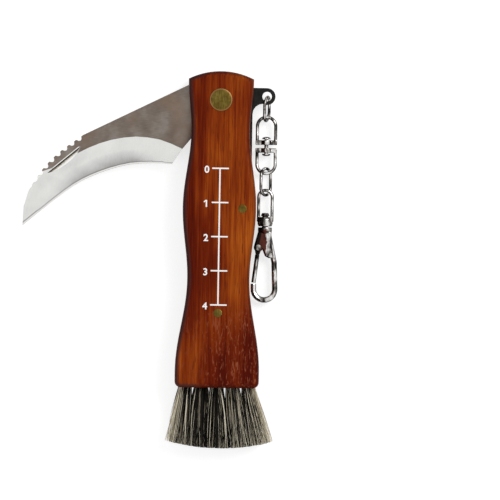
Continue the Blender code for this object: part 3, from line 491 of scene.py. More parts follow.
# The figure 1's flag: its middle from the top of the stem, its size and its slope
FLAG_PLACE = (-0.42 * MM, -0.36 * MM)
FLAG_SIZE = (0.85 * MM, 0.34 * MM, PRINT_THICKNESS)
FLAG_SLOPE = math.radians(40)


def block(middle, size, turn=0.0):
    """A rectangular block of this size, turned about Z."""
    bpy.ops.mesh.primitive_cube_add(size=1, location=middle, rotation=(0, 0, turn))
    bpy.context.object.scale = size
    return settle(bpy.context.object)


def printed_bar(left, right, bottom, top):
    """A thin bar of ink with slightly rounded ends, on the front scale's face."""
    middle = ((left + right) / 2, (bottom + top) / 2, FRONT_FACE)
    bar = block(middle, (right - left, top - bottom, PRINT_THICKNESS))
    return modify(bar, "BEVEL", width=PRINT_THICKNESS / 3, segments=2)


def white_ink():
    """White ink with a few worn specks that show the wood."""
    finish, tree, shader = new_finish("white_ink")
    worn = stretched(tree, noise(tree, (3000, 3000, 3000), 3), 0.62, 0.80)
    tone = blend_colours(tree, worn, (0.88, 0.87, 0.86), (0.62, 0.36, 0.28))
    feed(tree, shader, {"Base Color": tone, "Roughness": 0.6})
    return finish


print_foot = PRINT_TOP - LAST_FIGURE * DIVISION
long_line = printed_bar(PRINT_X - STROKE / 2, PRINT_X + STROKE / 2, print_foot, PRINT_TOP)
ruler_pieces = [long_line]
for figure in range(LAST_FIGURE + 1):
    height = PRINT_TOP - figure * DIVISION
    stroke = printed_bar(STROKE_LEFT, STROKE_RIGHT, height - STROKE / 2, height + STROKE / 2)
    shaped_by(long_line, "UNION", stroke)
    bpy.ops.object.text_add(location=(0, 0, 0))
    digit = bpy.context.object
    digit.data.body = str(figure)
    digit.data.size = FIGURE_SIZE
    digit.data.extrude = PRINT_THICKNESS / 2
    digit.data.offset = FIGURE_WEIGHT
    digit.data.align_x = "CENTER"
    digit.data.align_y = "CENTER"
    bpy.ops.object.convert(target="MESH")
    digit = bpy.context.object
    if figure == 1:
        # A short flag, from the top of the stem down to the left
        top = max(corner.co.y for corner in digit.data.vertices)
        flag = block((FLAG_PLACE[0], top + FLAG_PLACE[1], 0), FLAG_SIZE, FLAG_SLOPE)
        shaped_by(digit, "UNION", flag)
    digit.location = (FIGURE_X, height - FIGURE_DROP, FRONT_FACE)
    ruler_pieces.append(outwards(settle(digit)))
only(ruler_pieces[0])
for part in ruler_pieces:
    part.select_set(True)
bpy.ops.object.join()
ruler = bpy.context.object
ruler.name = "ruler_print"
coat(ruler, white_ink())
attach(ruler, "handle")

# --- The steel liners and the back spring ----------------------------------------------------
# Two thin plates of blackened sheet steel behind the scales, one with the lug for the chain, and
# the spring between them that holds the blade open or shut. All are stamped and heat-blackened.


def blackened_steel():
    """Heat-blackened sheet, shinier in patches."""
    finish, tree, shader = new_finish("blackened_steel")
    patches = noise(tree, (500, 500, 500), 4)
    tone = ramp(tree, ((0.35, (0.006, 0.006, 0.006)), (0.75, (0.020, 0.018, 0.016))), patches)
    feed(tree, shader, {"Base Color": tone, "Metallic": 0.8})
    feed(tree, shader, {"Roughness": stretched(tree, patches, 0.3, 0.7, 0.36, 0.55)})
    bumped(tree, shader, noise(tree, (9000, 9000, 9000), 2), 0.01 * MM, 0.5)
    return finish


black_finish = blackened_steel()
for plate in ("liner_back", "liner_front", "back_spring"):
    coat(nodes[plate], black_finish)

# --- The pins --------------------------------------------------------------------------------
# Three turned brass pins hold the sandwich together. The blade turns on the thick one, whose
# heads are let into the scales, and the two thin ones are peened at both ends and ground flush.

PIN_FOOT = 0.05 * MM
PIN_TOP = 13.15 * MM
PIN_RADIUS = 1.1 * MM
PIN_HEAD = 1.27 * MM
PIN_HEAD_DEPTH = 0.5 * MM
PIN_DOME = 0.06 * MM
PIVOT_SHANK = 1.5 * MM
PIVOT_HEAD = 3.30 * MM
PIVOT_HEAD_DEPTH = 1.2 * MM
PIVOT_DOME = 0.10 * MM
PIVOT_TOP = FRONT_FACE
# A head's dome in two steps: the share of the radius that each one leaves
DOME_STEPS = (0.955, 0.6)


def aged_brass():
    """Olive-brown brass with streaks of tarnish, and a paler, redder ring round the big head's rim."""
    finish, tree, shader = new_finish("aged_brass")
    streaks = noise(tree, (3800, 420, 800), 3, 0.6)
    tarnish = noise(tree, (420, 520, 520), 3, 0.6, place=(2, 5, 1))
    mix = plus(tree, times(tree, streaks, 0.6), times(tree, tarnish, 0.6))
    tone = ramp(tree, (
        (0.44, (0.055, 0.031, 0.003)), (0.60, (0.092, 0.061, 0.008)), (0.78, (0.16, 0.118, 0.026)),
    ), mix)
    x, y, _ = axes(tree)
    right, up = less(tree, x, PIVOT_PLACE[0]), less(tree, y, PIVOT_PLACE[1])
    away = worked(tree, "SQRT", plus(tree, times(tree, right, right), times(tree, up, up)))
    rim = times(
        tree,
        stretched(tree, away, PIVOT_HEAD - 0.42 * MM, PIVOT_HEAD - 0.18 * MM, 0.0, 0.7),
        stretched(tree, away, PIVOT_HEAD + 0.4 * MM, PIVOT_HEAD + 0.2 * MM),
    )
    feed(tree, shader, {"Base Color": blend_colours(tree, rim, tone, (0.27, 0.135, 0.050)), "Metallic": 0.9})
    feed(tree, shader, {"Roughness": stretched(tree, streaks, 0.3, 0.7, 0.5, 0.34)})
    bumped(tree, shader, streaks, 0.02 * MM, 0.7)
    return finish


def forge_head(rod, place, height, wider, depth, dome):
    """Swells one end of a rod into a flat head with a raised middle; depth is signed, outwards."""
    only(rod)
    bpy.ops.object.mode_set(mode="EDIT")
    choose("FACE", lambda co: abs(co.z - height) < NEAR)
    extrude(0, 0, 0)
    bpy.ops.transform.resize(value=(wider, wider, 1), center_override=(*place, height))
    extrude(0, 0, depth)
    for share in DOME_STEPS:
        extrude(0, 0, math.copysign(dome / 2, depth))
        bpy.ops.transform.resize(value=(share, share, 1), center_override=(*place, height))
    bpy.ops.object.mode_set(mode="OBJECT")


brass = aged_brass()
pivot_sizes = (PIVOT_TOP, PIVOT_SHANK, PIVOT_HEAD, PIVOT_HEAD_DEPTH, PIVOT_DOME, ROUND_SIDES)
thin_sizes = (PIN_TOP, PIN_RADIUS, PIN_HEAD, PIN_HEAD_DEPTH, PIN_DOME, THIN_ROUND_SIDES)
for pin_name, node_name, place, (top, shank, head, head_depth, dome, sides) in (
    ("pivot_rivet", "pivot_pin", PIVOT_PLACE, pivot_sizes),
    ("middle_rivet", "spring_pin", PIN_PLACES[0], thin_sizes),
    ("end_rivet", "end_pin", PIN_PLACES[1], thin_sizes),
):
    low, high = PIN_FOOT + head_depth, top - head_depth
    pin = turned_rod(pin_name, place, shank, low, high, sides)
    forge_head(pin, place, high, head / shank, head_depth, dome)
    forge_head(pin, place, low, head / shank, dome - head_depth, dome)
    coat(smooth(outwards(pin)), brass)
    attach(pin, "handle")
    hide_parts(node_name)

# --- The blade -------------------------------------------------------------------------------
# One hooked piece of steel, stamped with saw teeth along the end of its back. Its cheeks keep a
# satin finish, its dark tone partly a painted dark reflection of what lies straight above, and a bright bevel
# is ground on both sides down to the inner, cutting edge.

BLADE_MIDDLE = 6.6 * MM
BLADE_HALF = 1.0 * MM
# The nail nick: the ends of its straight upper lip, and the milling cutter that sinks below it
NICK_ENDS = ((-50.91 * MM, 15.82 * MM), (-41.33 * MM, 23.83 * MM))
NICK_DEPTH = 0.55 * MM
NICK_WIDTH = 1.8 * MM
NICK_OVERRUN = 0.4 * MM
POCKET_DEPTH = 0.5 * MM
CUTTER_SIDES = 720
# How far upright the normals are: at least this on the flat cheeks, and between these on the nick's floor
CHEEK_NORMAL = 0.9995
NICK_NORMALS = (0.9, 0.985)
# The cheek is dark as far as this slanting line across the last teeth, which counts left of a place
DARK_END = (-53.26 * MM, 15.99 * MM)
DARK_END_NORMAL = (-0.331, 0.943)
TEETH_PLACE = -45 * MM


def copy_of(node, name):
    """A piece that starts as a CAD node's shape, with its loose triangles merged into one skin."""
    piece = bpy.data.objects.new(name, nodes[node].data.copy())
    bpy.context.scene.collection.objects.link(piece)
    return outwards(piece)


def nick_frame():
    """The middle of the nick's upper lip, the ways along it and up across it, and half its length."""
    first, last = (Vector((*end, BLADE_MIDDLE + BLADE_HALF)) for end in NICK_ENDS)
    along = (last - first).normalized()
    return (first + last) / 2, along, Vector((-along.y, along.x, 0)), (last - first).length / 2


def across_nick(tree, way):
    """How far a point lies from the middle of the nick's lip, along the given direction."""
    where = tree.nodes.new("ShaderNodeTexCoord").outputs["Object"]
    from_lip = tree.nodes.new("ShaderNodeVectorMath")
    from_lip.operation = "SUBTRACT"
    feed(tree, from_lip, {0: where, 1: nick_frame()[0]})
    along = tree.nodes.new("ShaderNodeVectorMath")
    along.operation = "DOT_PRODUCT"
    feed(tree, along, {0: from_lip.outputs["Vector"], 1: way})
    return along.outputs["Value"]


def satin_cheek():
    """Rolled steel with brownish patches and faint belt lines, its dark tone partly a painted dark reflection
    of what lies straight above, and a painted highlight along the lip above the nick.
    """
    finish, tree, shader = new_finish("satin_cheek")
    patches = noise(tree, (170, 150, 100), 2, 0.5)
    warm = noise(tree, (120, 120, 100), 2, 0.5, place=(7, 3, 0))
    belt = noise(tree, (700, 5200, 900), 2, 0.6, turn=(0, 0, -1.1))
    mix = plus(tree, times(tree, patches, 0.75), times(tree, belt, 0.25))
    # Partly painted reflection: the cheek's steel is painted dark for what lies straight above
    tone = ramp(tree, (
        (0.34, (0.115, 0.090, 0.074)), (0.50, (0.165, 0.136, 0.114)), (0.66, (0.225, 0.200, 0.178)),
    ), mix)
    tone = blend_colours(tree, stretched(tree, warm, 0.50, 0.70, 0.0, 0.55), tone, (0.190, 0.130, 0.095))
    _, along, upwards, half_length = nick_frame()
    height, place = across_nick(tree, upwards), across_nick(tree, along)
    # Painted highlight: a bright strip just above the nick's lip, on the front cheek only
    lip = times(tree, stretched(tree, height, 0.30 * MM, 0.16 * MM), stretched(tree, height, -0.05 * MM, 0.0))
    ends = stretched(tree, worked(tree, "ABSOLUTE", place), half_length, half_length - 0.6 * MM)
    front = stretched(tree, axes(tree)["Z"], BLADE_MIDDLE, BLADE_MIDDLE + BLADE_HALF)
    lip = times(tree, times(tree, lip, ends), front)
    feed(tree, shader, {"Base Color": blend_colours(tree, lip, tone, (0.82, 0.80, 0.77)), "Metallic": 1.0})
    feed(tree, shader, {"Roughness": stretched(tree, belt, 0.3, 0.7, 0.30, 0.42)})
    bumped(tree, shader, belt, 0.006 * MM, 0.5)
    return finish


def ground_bevel():
    """Bright ground steel with a greyer band low on its middle, and a whetted strip along the edge."""
    finish, tree, shader = new_finish("ground_bevel")
    x, _, z = axes(tree)
    height = worked(tree, "ABSOLUTE", less(tree, z, BLADE_MIDDLE))
    clouds = noise(tree, (110, 130, 90), 2, 0.5)
    lines = noise(tree, (5200, 900, 900), 2, 0.6, turn=(0, 0, 0.9))
    band = times(tree, stretched(tree, height, 0.62 * MM, 0.20 * MM), stretched(tree, x, -52 * MM, -40 * MM))
    band = times(tree, band, stretched(tree, x, -16 * MM, -26 * MM))
    mix = plus(tree, times(tree, clouds, 0.42), times(tree, lines, 0.14))
    mix = less(tree, plus(tree, mix, 0.36), times(tree, band, 0.42))
    tone = ramp(tree, (
        (0.16, (0.30, 0.29, 0.28)), (0.42, (0.55, 0.55, 0.54)),
        (0.62, (0.70, 0.70, 0.68)), (0.78, (0.78, 0.78, 0.76)),
    ), mix)
    # A dark line, the whetted strip below it, and the very edge
    whetted = stretched(tree, height, 0.165 * MM, 0.150 * MM)
    dark_line = times(tree, stretched(tree, height, 0.200 * MM, 0.170 * MM), less(tree, 1.0, whetted))
    tone = blend_colours(tree, dark_line, tone, (0.20, 0.195, 0.19))
    tone = blend_colours(tree, whetted, tone, (0.76, 0.75, 0.73))
    wire_edge = stretched(tree, height, 0.115 * MM, 0.100 * MM, 0.0, 0.8)
    tone = blend_colours(tree, wire_edge, tone, (0.16, 0.155, 0.15))
    feed(tree, shader, {"Base Color": tone, "Metallic": 1.0, "Roughness": 0.26})
    bumped(tree, shader, lines, 0.004 * MM, 0.4)
    return finish


def milled_nick():
    """The nick's floor: painted shade, near black, under the lip, and bright where it runs out on the bevel.
    """
    finish, tree, shader = new_finish("milled_nick")
    depth = stretched(tree, across_nick(tree, nick_frame()[2]), 0.0, -NICK_WIDTH)
    chatter = noise(tree, (2600, 2600, 400), 1)
    depth = plus(tree, depth, stretched(tree, chatter, 0.3, 0.7, -0.07, 0.07))
    # Painted shade: near black at the deep end under the lip
    tone = ramp(tree, (
        (0.10, (0.022, 0.017, 0.012)), (0.24, (0.12, 0.10, 0.075)),
        (0.42, (0.62, 0.60, 0.54)), (0.62, (0.86, 0.85, 0.82)),
    ), depth)
    feed(tree, shader, {"Base Color": tone, "Metallic": 1.0, "Roughness": 0.3})
    bumped(tree, shader, chatter, 0.02 * MM, 0.4)
    return finish


def mill_nick(piece):
    """Closes the plain pocket of the CAD nick, and sinks a wide conical cutter there instead."""
    only(piece)
    bpy.ops.object.mode_set(mode="EDIT")
    lip, along, upwards, half_length = nick_frame()
    floor, reach = lip.z - POCKET_DEPTH, 1.2 * half_length
    choose("VERT", lambda co: abs(co.z - floor) < 2 * NEAR and abs((co - lip).dot(along)) < reach)
    bpy.ops.mesh.delete(type="VERT")
    bpy.ops.mesh.select_all(action="SELECT")
    bpy.ops.mesh.fill_holes(sides=0)
    bpy.ops.object.mode_set(mode="OBJECT")
    outer = (half_length**2 / NICK_DEPTH + NICK_DEPTH) / 2
    slope = NICK_DEPTH / NICK_WIDTH
    wide = NICK_WIDTH + NICK_OVERRUN
    centre = lip - upwards * wide / 2 + Vector((0, 0, outer - NICK_DEPTH))
    bpy.ops.mesh.primitive_cone_add(
        vertices=CUTTER_SIDES, radius1=outer, radius2=outer - slope * wide, depth=wide, location=centre,
        rotation=(-upwards).to_track_quat("Z", "Y").to_euler(),
    )
    return shaped_by(piece, "DIFFERENCE", settle(bpy.context.object))


blade = copy_of("blade", "hooked_blade")
rework(blade, bpy.ops.mesh.dissolve_limited, angle_limit=math.radians(0.4))
mill_nick(blade)
rework(blade, bpy.ops.mesh.bisect, plane_co=(*DARK_END, BLADE_MIDDLE), plane_no=(*DARK_END_NORMAL, 0))
modify(blade, "BEVEL", width=0.05 * MM, segments=2, limit_method="ANGLE", angle_limit=math.radians(50))
coat(blade, satin_cheek(), ground_bevel(), milled_nick())
lip, _, _, half_length = nick_frame()
for face in blade.data.polygons:
    on_cheek = abs(abs(face.center.z - BLADE_MIDDLE) - BLADE_HALF) < NEAR
    flat = abs(face.normal.z) > CHEEK_NORMAL and on_cheek
    past_line = Vector(DARK_END_NORMAL).dot(face.center.xy - Vector(DARK_END)) < 0
    past_end = past_line and face.center.x < TEETH_PLACE
    near_lip = (face.center - lip).length < 1.1 * half_length
    in_nick = NICK_NORMALS[0] < face.normal.z < NICK_NORMALS[1] and near_lip
    face.material_index = 2 if in_nick else 0 if flat and not past_end else 1
smooth(blade, degrees=25)
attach(blade, "blade")
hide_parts("blade")

# --- The lug ring, the swivel and the chain link ---------------------------------------------
# Bent wire and small stampings, all plated bright: a jump ring in the lug, two bows whose cross
# bars turn on one rivet, and an oval link that takes the clasp.

CHAIN_X = 13.5 * MM
CHAIN_FLOOR = 2.5 * MM
RING_TOP = 39.16 * MM
LUG_MIDDLE = 4.8 * MM
RING_HALF = 2.1 * MM
RING_LENGTH = 7.3 * MM
THIN_WIRE = 0.45 * MM
# How far down the ring the swivel hangs in it, and so how steeply the ring drops from the lug
RING_REACH = 6.05 * MM
RING_TILT = math.asin((LUG_MIDDLE - CHAIN_FLOOR) / RING_REACH)
# The ring hangs a little turned about its own length
RING_TURN = math.radians(19)
BOW_WIRE = 0.5 * MM
BOW_HALF = 2.7 * MM
UPPER_BOW_TOP = 33.354 * MM
UPPER_BAR = 25.854 * MM
LOWER_BAR = 23.554 * MM
LOWER_BOW_FOOT = 16.754 * MM
BAR_THICKNESS = 1.4 * MM
BOSS_RADIUS = 1.5 * MM
BAR_ROUNDING = 0.2 * MM
CAST_GRAIN = 0.09 * MM
RIVET_RADIUS = 0.6 * MM
RIVET_HOLE = 0.8 * MM
RIVET_HEAD = 1.25 * MM
RIVET_HEAD_DEPTH = 0.7 * MM
# The rivet's domed head in steps: each one's share of the height, and of the radius before it
RIVET_DOME = ((0.4, 1.0), (0.25, 0.88), (0.2, 0.8), (0.15, 0.6))
LINK_TOP = 18.204 * MM
LINK_HALF = 2.2 * MM
LINK_LENGTH = 7.85 * MM
LINK_TURN = math.radians(50)


def plated_tone(tree):
    """The plating's colour with painted reflection: dark and bright patches, and dark down the wire's sides,
    as if they faced a darker room.
    """
    # Painted reflection in dark and bright patches
    painted_reflection_patches = noise(tree, (700, 330, 700), 2, 0.5)
    facing = tree.nodes.new("ShaderNodeSeparateXYZ")
    feed(tree, facing, {0: tree.nodes.new("ShaderNodeTexCoord").outputs["Normal"]})
    level = worked(tree, "ABSOLUTE", facing.outputs["Z"])
    # Painted reflection: the more a face turns sideways, the darker it is painted
    painted_reflection_level = plus(tree, painted_reflection_patches, stretched(tree, level, 0.15, 1.0, -0.24, 0.06))
    return ramp(tree, (
        (0.37, (0.012, 0.011, 0.010)), (0.47, (0.13, 0.12, 0.11)),
        (0.57, (0.50, 0.48, 0.46)), (0.68, (0.78, 0.78, 0.77)),
    ), painted_reflection_level)


def plate_over(tree, shader, tone, roughness):
    """Thick bright plating, a little wavy, so that its lights break up."""
    feed(tree, shader, {"Base Color": tone, "Metallic": 1.0, "Roughness": roughness})
    bumped(tree, shader, noise(tree, (1300, 700, 1300), 1, 0.5), 0.08 * MM, 0.7)


def wire_ring(name, half, wire):
    """A ring of wire in the XY plane, with its top at the origin."""
    bpy.ops.mesh.primitive_torus_add(
        major_radius=half, minor_radius=wire, major_segments=56, minor_segments=20, location=(0, -half, 0)
    )
    ring = settle(bpy.context.object)
    ring.name = name
    return ring


def stretched_ring(name, half, length, wire):
    """An oval of wire: a ring whose lower half is drawn down."""
    ring = wire_ring(name, half, wire)
    bpy.ops.object.mode_set(mode="EDIT")
    choose("VERT", lambda co: co.y < -half + NEAR / 10)
    bpy.ops.transform.translate(value=(0, 2 * half - length, 0))
    bpy.ops.object.mode_set(mode="OBJECT")
    return ring


def hung(piece, turn, place):
    """Turns a piece about the origin and carries it to its place."""
    piece.matrix_world = Matrix.Translation(place) @ turn.to_4x4()
    return settle(piece)


def bent_bow(name, half, leg, wire, upwards):
    """Half a ring with two legs, its crown at the origin. The legs run along -Y, or +Y if turned over."""
    bow = wire_ring(name, half, wire)
    bpy.ops.object.mode_set(mode="EDIT")
    choose("VERT", lambda co: co.y < -half - NEAR / 10)
    bpy.ops.mesh.delete(type="VERT")
    choose("EDGE", lambda co: co.y < -half + NEAR / 10)
    extrude(0, -leg, 0)
    bpy.ops.mesh.select_all(action="SELECT")
    bpy.ops.mesh.fill_holes(sides=0)
    bpy.ops.object.mode_set(mode="OBJECT")
    if not upwards:
        bow.rotation_euler = (0, 0, math.pi)
        settle(bow)
    return outwards(bow)


def rod_along(place, radius, depth):
    """A short rod that lies along the chain."""
    bpy.ops.mesh.primitive_cylinder_add(
        vertices=THIN_ROUND_SIDES, radius=radius, depth=depth, location=place, rotation=(math.pi / 2, 0, 0)
    )
    return settle(bpy.context.object)


def cast_over(piece, grain, rounds):
    """Gives a joined shape one skin with soft corners, as plating over a casting has."""
    modify(piece, "REMESH", mode="VOXEL", voxel_size=grain, use_smooth_shade=True)
    modify(piece, "SMOOTH", factor=0.5, iterations=rounds)
    return smooth(piece, degrees=60)


def swivel_half(name, crown, bar, upwards):
    """One bow of the swivel with its cross bar, boss and rivet hole."""
    bow = bent_bow(name, BOW_HALF, abs(crown - bar) - BOW_HALF, BOW_WIRE, upwards)
    bow.location = (CHAIN_X, crown, CHAIN_FLOOR)
    settle(bow)
    middle = (CHAIN_X, bar, CHAIN_FLOOR)
    cross = block(middle, (2 * (BOW_HALF + BOW_WIRE), BAR_THICKNESS, 2 * BOW_WIRE))
    modify(cross, "BEVEL", width=BAR_ROUNDING, segments=3)
    boss = rod_along(middle, BOSS_RADIUS, BAR_THICKNESS)
    modify(boss, "BEVEL", width=BAR_ROUNDING, segments=3, limit_method="ANGLE")
    shaped_by(bow, "UNION", cross, boss)
    shaped_by(bow, "DIFFERENCE", rod_along(middle, RIVET_HOLE, 4 * BAR_THICKNESS))
    return cast_over(bow, CAST_GRAIN, rounds=4)


def forge_rivet(name, top, foot):
    """The swivel's rivet, with a domed head at either end."""
    rivet = rod_along((CHAIN_X, (top + foot) / 2, CHAIN_FLOOR), RIVET_RADIUS, top - foot)
    rivet.name = name
    wider = RIVET_HEAD / RIVET_RADIUS
    for end, way in ((top, 1), (foot, -1)):
        only(rivet)
        bpy.ops.object.mode_set(mode="EDIT")
        choose("FACE", lambda co: abs(co.y - end) < NEAR)
        centre = (CHAIN_X, end, CHAIN_FLOOR)
        extrude(0, 0, 0)
        bpy.ops.transform.resize(value=(wider, 1, wider), center_override=centre)
        for rise, narrower in RIVET_DOME:
            extrude(0, way * rise * RIVET_HEAD_DEPTH, 0)
            bpy.ops.transform.resize(value=(narrower, 1, narrower), center_override=centre)
        bpy.ops.object.mode_set(mode="OBJECT")
    return smooth(outwards(rivet))


plating, tree, shader = new_finish("bright_plate")
plate_over(tree, shader, plated_tone(tree), 0.11)
ring = hung(
    stretched_ring("jump_ring", RING_HALF, RING_LENGTH, THIN_WIRE),
    Matrix.Rotation(RING_TILT, 3, "X") @ Matrix.Rotation(math.pi / 2 - RING_TURN, 3, "Y"),
    (CHAIN_X, RING_TOP, LUG_MIDDLE),
)
link = hung(
    stretched_ring("oval_link", LINK_HALF, LINK_LENGTH, THIN_WIRE),
    Matrix.Rotation(LINK_TURN, 3, "Y"),
    (CHAIN_X, LINK_TOP, CHAIN_FLOOR),
)
upper_bow = swivel_half("swivel_upper_bow_bright", UPPER_BOW_TOP, UPPER_BAR, True)
lower_bow = swivel_half("swivel_lower_bow_bright", LOWER_BOW_FOOT, LOWER_BAR, False)
rivet_low, rivet_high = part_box("swivel_rivet")
rivet = forge_rivet("swivel_rivet_bright", rivet_high.y - RIVET_HEAD_DEPTH, rivet_low.y + RIVET_HEAD_DEPTH)
for part, body, node_name in (
    (smooth(ring), "lug_ring", "lug_ring"),
    (smooth(link), "chain_link", "chain_link"),
    (upper_bow, "swivel_top", "swivel_upper_bow"),
    (rivet, "swivel_top", "swivel_rivet"),
    (lower_bow, "swivel_foot", "swivel_lower_bow"),
):
    coat(part, plating)
    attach(part, body)
    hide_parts(node_name)

# --- The clasp -------------------------------------------------------------------------------
# A cast trigger clasp: a bow with a collar, a hook whose stem turns in it, and a sprung gate on a
# pin between the hook's cheeks. The castings are tumbled soft at the corners before plating.

# Where the flat of the casting carries painted reflection, and where that turns from black, for a dark room,
# to red-brown, for the wood beside it
PAINTED_REFLECTION_RIGHT = 14.0 * MM
PAINTED_REFLECTION_FOOT = -8.3 * MM
PAINTED_REFLECTION_HEAD = 0.0
BLACK_LIMIT = 11.6 * MM
BROWN_LIMIT = 12.6 * MM


def tarnished_plate():
    """The same plating with painted reflection on the flat between the rims: black for a dark room, red-brown
    for the wood beside it.
    """
    finish, tree, shader = new_finish("tarnished_plate")
    x, y, _ = axes(tree)
    uneven = stretched(tree, noise(tree, (900, 600, 900), 2, 0.5), 0.3, 0.7, -0.4 * MM, 0.4 * MM)
    across, along = plus(tree, x, uneven), plus(tree, y, uneven)
    flat = stretched(tree, along, PAINTED_REFLECTION_FOOT - 0.3 * MM, PAINTED_REFLECTION_FOOT + 0.3 * MM)
    flat = times(tree, flat, stretched(tree, along, PAINTED_REFLECTION_HEAD + 0.3 * MM, PAINTED_REFLECTION_HEAD))
    flat = times(tree, flat, stretched(tree, across, PAINTED_REFLECTION_RIGHT + 0.15 * MM, PAINTED_REFLECTION_RIGHT - 0.15 * MM))
    streaks = noise(tree, (1600, 500, 1600), 2, 0.6, place=(4, 0, 2))
    streaks = stretched(tree, streaks, 0.35, 0.65, -0.35, 0.35)
    # Painted reflection: black on the left, turning to the red-brown of the reflected wood towards the right
    dark = ramp(tree, (
        (0.15, (0.010, 0.008, 0.007)), (0.50, (0.022, 0.012, 0.010)), (0.95, (0.085, 0.026, 0.018)),
    ), plus(tree, stretched(tree, x, BLACK_LIMIT, BROWN_LIMIT), streaks))
    tone = blend_colours(tree, flat, plated_tone(tree), dark)
    plate_over(tree, shader, tone, stretched(tree, flat, 0.0, 1.0, 0.11, 0.24))
    return finish


# The hook and gate get the plating with painted reflection on their flat
painted_reflection_finish = tarnished_plate()
for node_name, name, body, rounds in (
    ("clasp_eye", "clasp_eye_cast", "clasp_eye", 5),
    ("clasp_hook", "clasp_hook_cast", "clasp_hook", 6),
    ("clasp_gate", "clasp_gate_cast", "clasp_gate", 5),
):
    casting = cast_over(copy_of(node_name, name), CAST_GRAIN, rounds)
    coat(casting, plating if node_name == "clasp_eye" else painted_reflection_finish)
    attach(casting, body)
    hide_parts(node_name)
gate_pin = copy_of("gate_pin", "gate_pin_bright")
rework(gate_pin, bpy.ops.mesh.dissolve_limited, angle_limit=math.radians(1))
modify(gate_pin, "BEVEL", width=0.1 * MM, segments=3, limit_method="ANGLE", angle_limit=math.radians(60))
coat(smooth(gate_pin), plating)
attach(gate_pin, "clasp_hook")
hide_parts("gate_pin")

# --- The brush -------------------------------------------------------------------------------
# Five round tufts of animal hair, folded into holes in the wooden block between the scales' feet.
# The hair is grey-brown and black mixed, spreads towards its ends and is cut to a shallow curve.

BLOCK_FLOOR = 4.3 * MM
BLOCK_CEILING = 8.9 * MM
BLOCK_FACE = -46.3 * MM
BLOCK_SLICE = 1.7 * MM
BLOCK_HALF = 11.2 * MM
TUFTS = 5
TUFT_PITCH = 4.6 * MM
TUFT_HALF = 1.95 * MM
HAIRS_PER_TUFT = 620
HAIR_SEED = 11
HAIR_SIDES = 4
HAIR_RINGS = 6
HAIR_RADII = (0.060 * MM, 0.105 * MM)
HAIR_TIP_SHARE = 0.45
HAIR_ROOT_DEPTH = 0.8 * MM
HAIR_REACH = 18.2 * MM
CORNER_RISE = 2.1 * MM
CUT_UNEVENNESS = 0.35 * MM
# How the tips spread: tuft from tuft, hair from hair across and in depth, and all a little to the right
TIP_SPREAD_SHARE = 1.34
SIDE_SPREAD_SHARE = 1.80
DEPTH_SPREAD_SHARE = 2.5
TIP_LEAN = 0.9 * MM
HAIR_STRAY = 0.50 * MM
HAIR_WAVE = 0.30 * MM
HAIR_BEND_POWER = 1.08
# Hairs of one lock lean and pale together
LOCKS = 9
LOCK_DIFFERENCE = 0.22
LOCK_PULL = 2.0 * MM
LOCK_PALING = 0.9
# The share of pale hairs in the middle, and its rise towards the brush's corners
PALE_SHARE = 0.09
CORNER_PALING = 1.1
CORNER_POWER = 3.6
PALE_TONES = (0.62, 0.98)
DARK_TONES = (0.02, 0.34)
TIP_PALING = 0.12
TONE_PLACE = 0.4
TUFT_HOLE = TUFT_HALF + 0.12 * MM
FOOT_ROUNDING = 0.12 * MM


def raw_block_wood():
    """Bare hardwood, dark with age."""
    finish, tree, shader = new_finish("raw_block_wood")
    grain = noise(tree, (1500, 120, 1500), 3, 0.6)
    tone = ramp(tree, ((0.35, (0.05, 0.014, 0.006)), (0.7, (0.14, 0.045, 0.018))), grain)
    feed(tree, shader, {"Base Color": tone, "Roughness": 0.7, "Specular IOR Level": 0.2})
    bumped(tree, shader, grain, 0.05 * MM, 0.6)
    return finish


def animal_hair():
    """Each hair has its own tone, kept on its points, and is a little paler towards the tip."""
    finish, tree, shader = new_finish("animal_hair")
    tone_of = tree.nodes.new("ShaderNodeAttribute")
    tone_of.attribute_name = "hair_tone"
    streaks = stretched(tree, noise(tree, (3500, 240, 3500), 2, 0.5), 0.3, 0.7, -0.08, 0.08)
    tone = ramp(tree, (
        (0.10, (0.006, 0.005, 0.004)), (0.42, (0.022, 0.018, 0.013)),
        (0.62, (0.34, 0.28, 0.185)), (0.95, (0.90, 0.83, 0.66)),
    ), plus(tree, tone_of.outputs["Fac"], streaks))
    feed(tree, shader, {"Base Color": tone, "Roughness": 0.5, "Specular IOR Level": 0.12})
    return finish


def one_hair():
    """A tapered hair along +Z, one unit long and one unit in radius at the root: its points and faces."""
    bpy.ops.mesh.primitive_cone_add(
        vertices=HAIR_SIDES, radius1=1, radius2=HAIR_TIP_SHARE, depth=1, location=(0, 0, 0.5),
        end_fill_type="NGON",
    )
    hair = settle(bpy.context.object)
    for cut in range(1, HAIR_RINGS):
        rework(hair, bpy.ops.mesh.bisect, plane_co=(0, 0, cut / HAIR_RINGS), plane_no=(0, 0, 1))
    outwards(hair)
    points = np.array([corner.co for corner in hair.data.vertices])
    faces = [list(face.vertices) for face in hair.data.polygons]
    bpy.data.objects.remove(hair, do_unlink=True)
    return points, faces


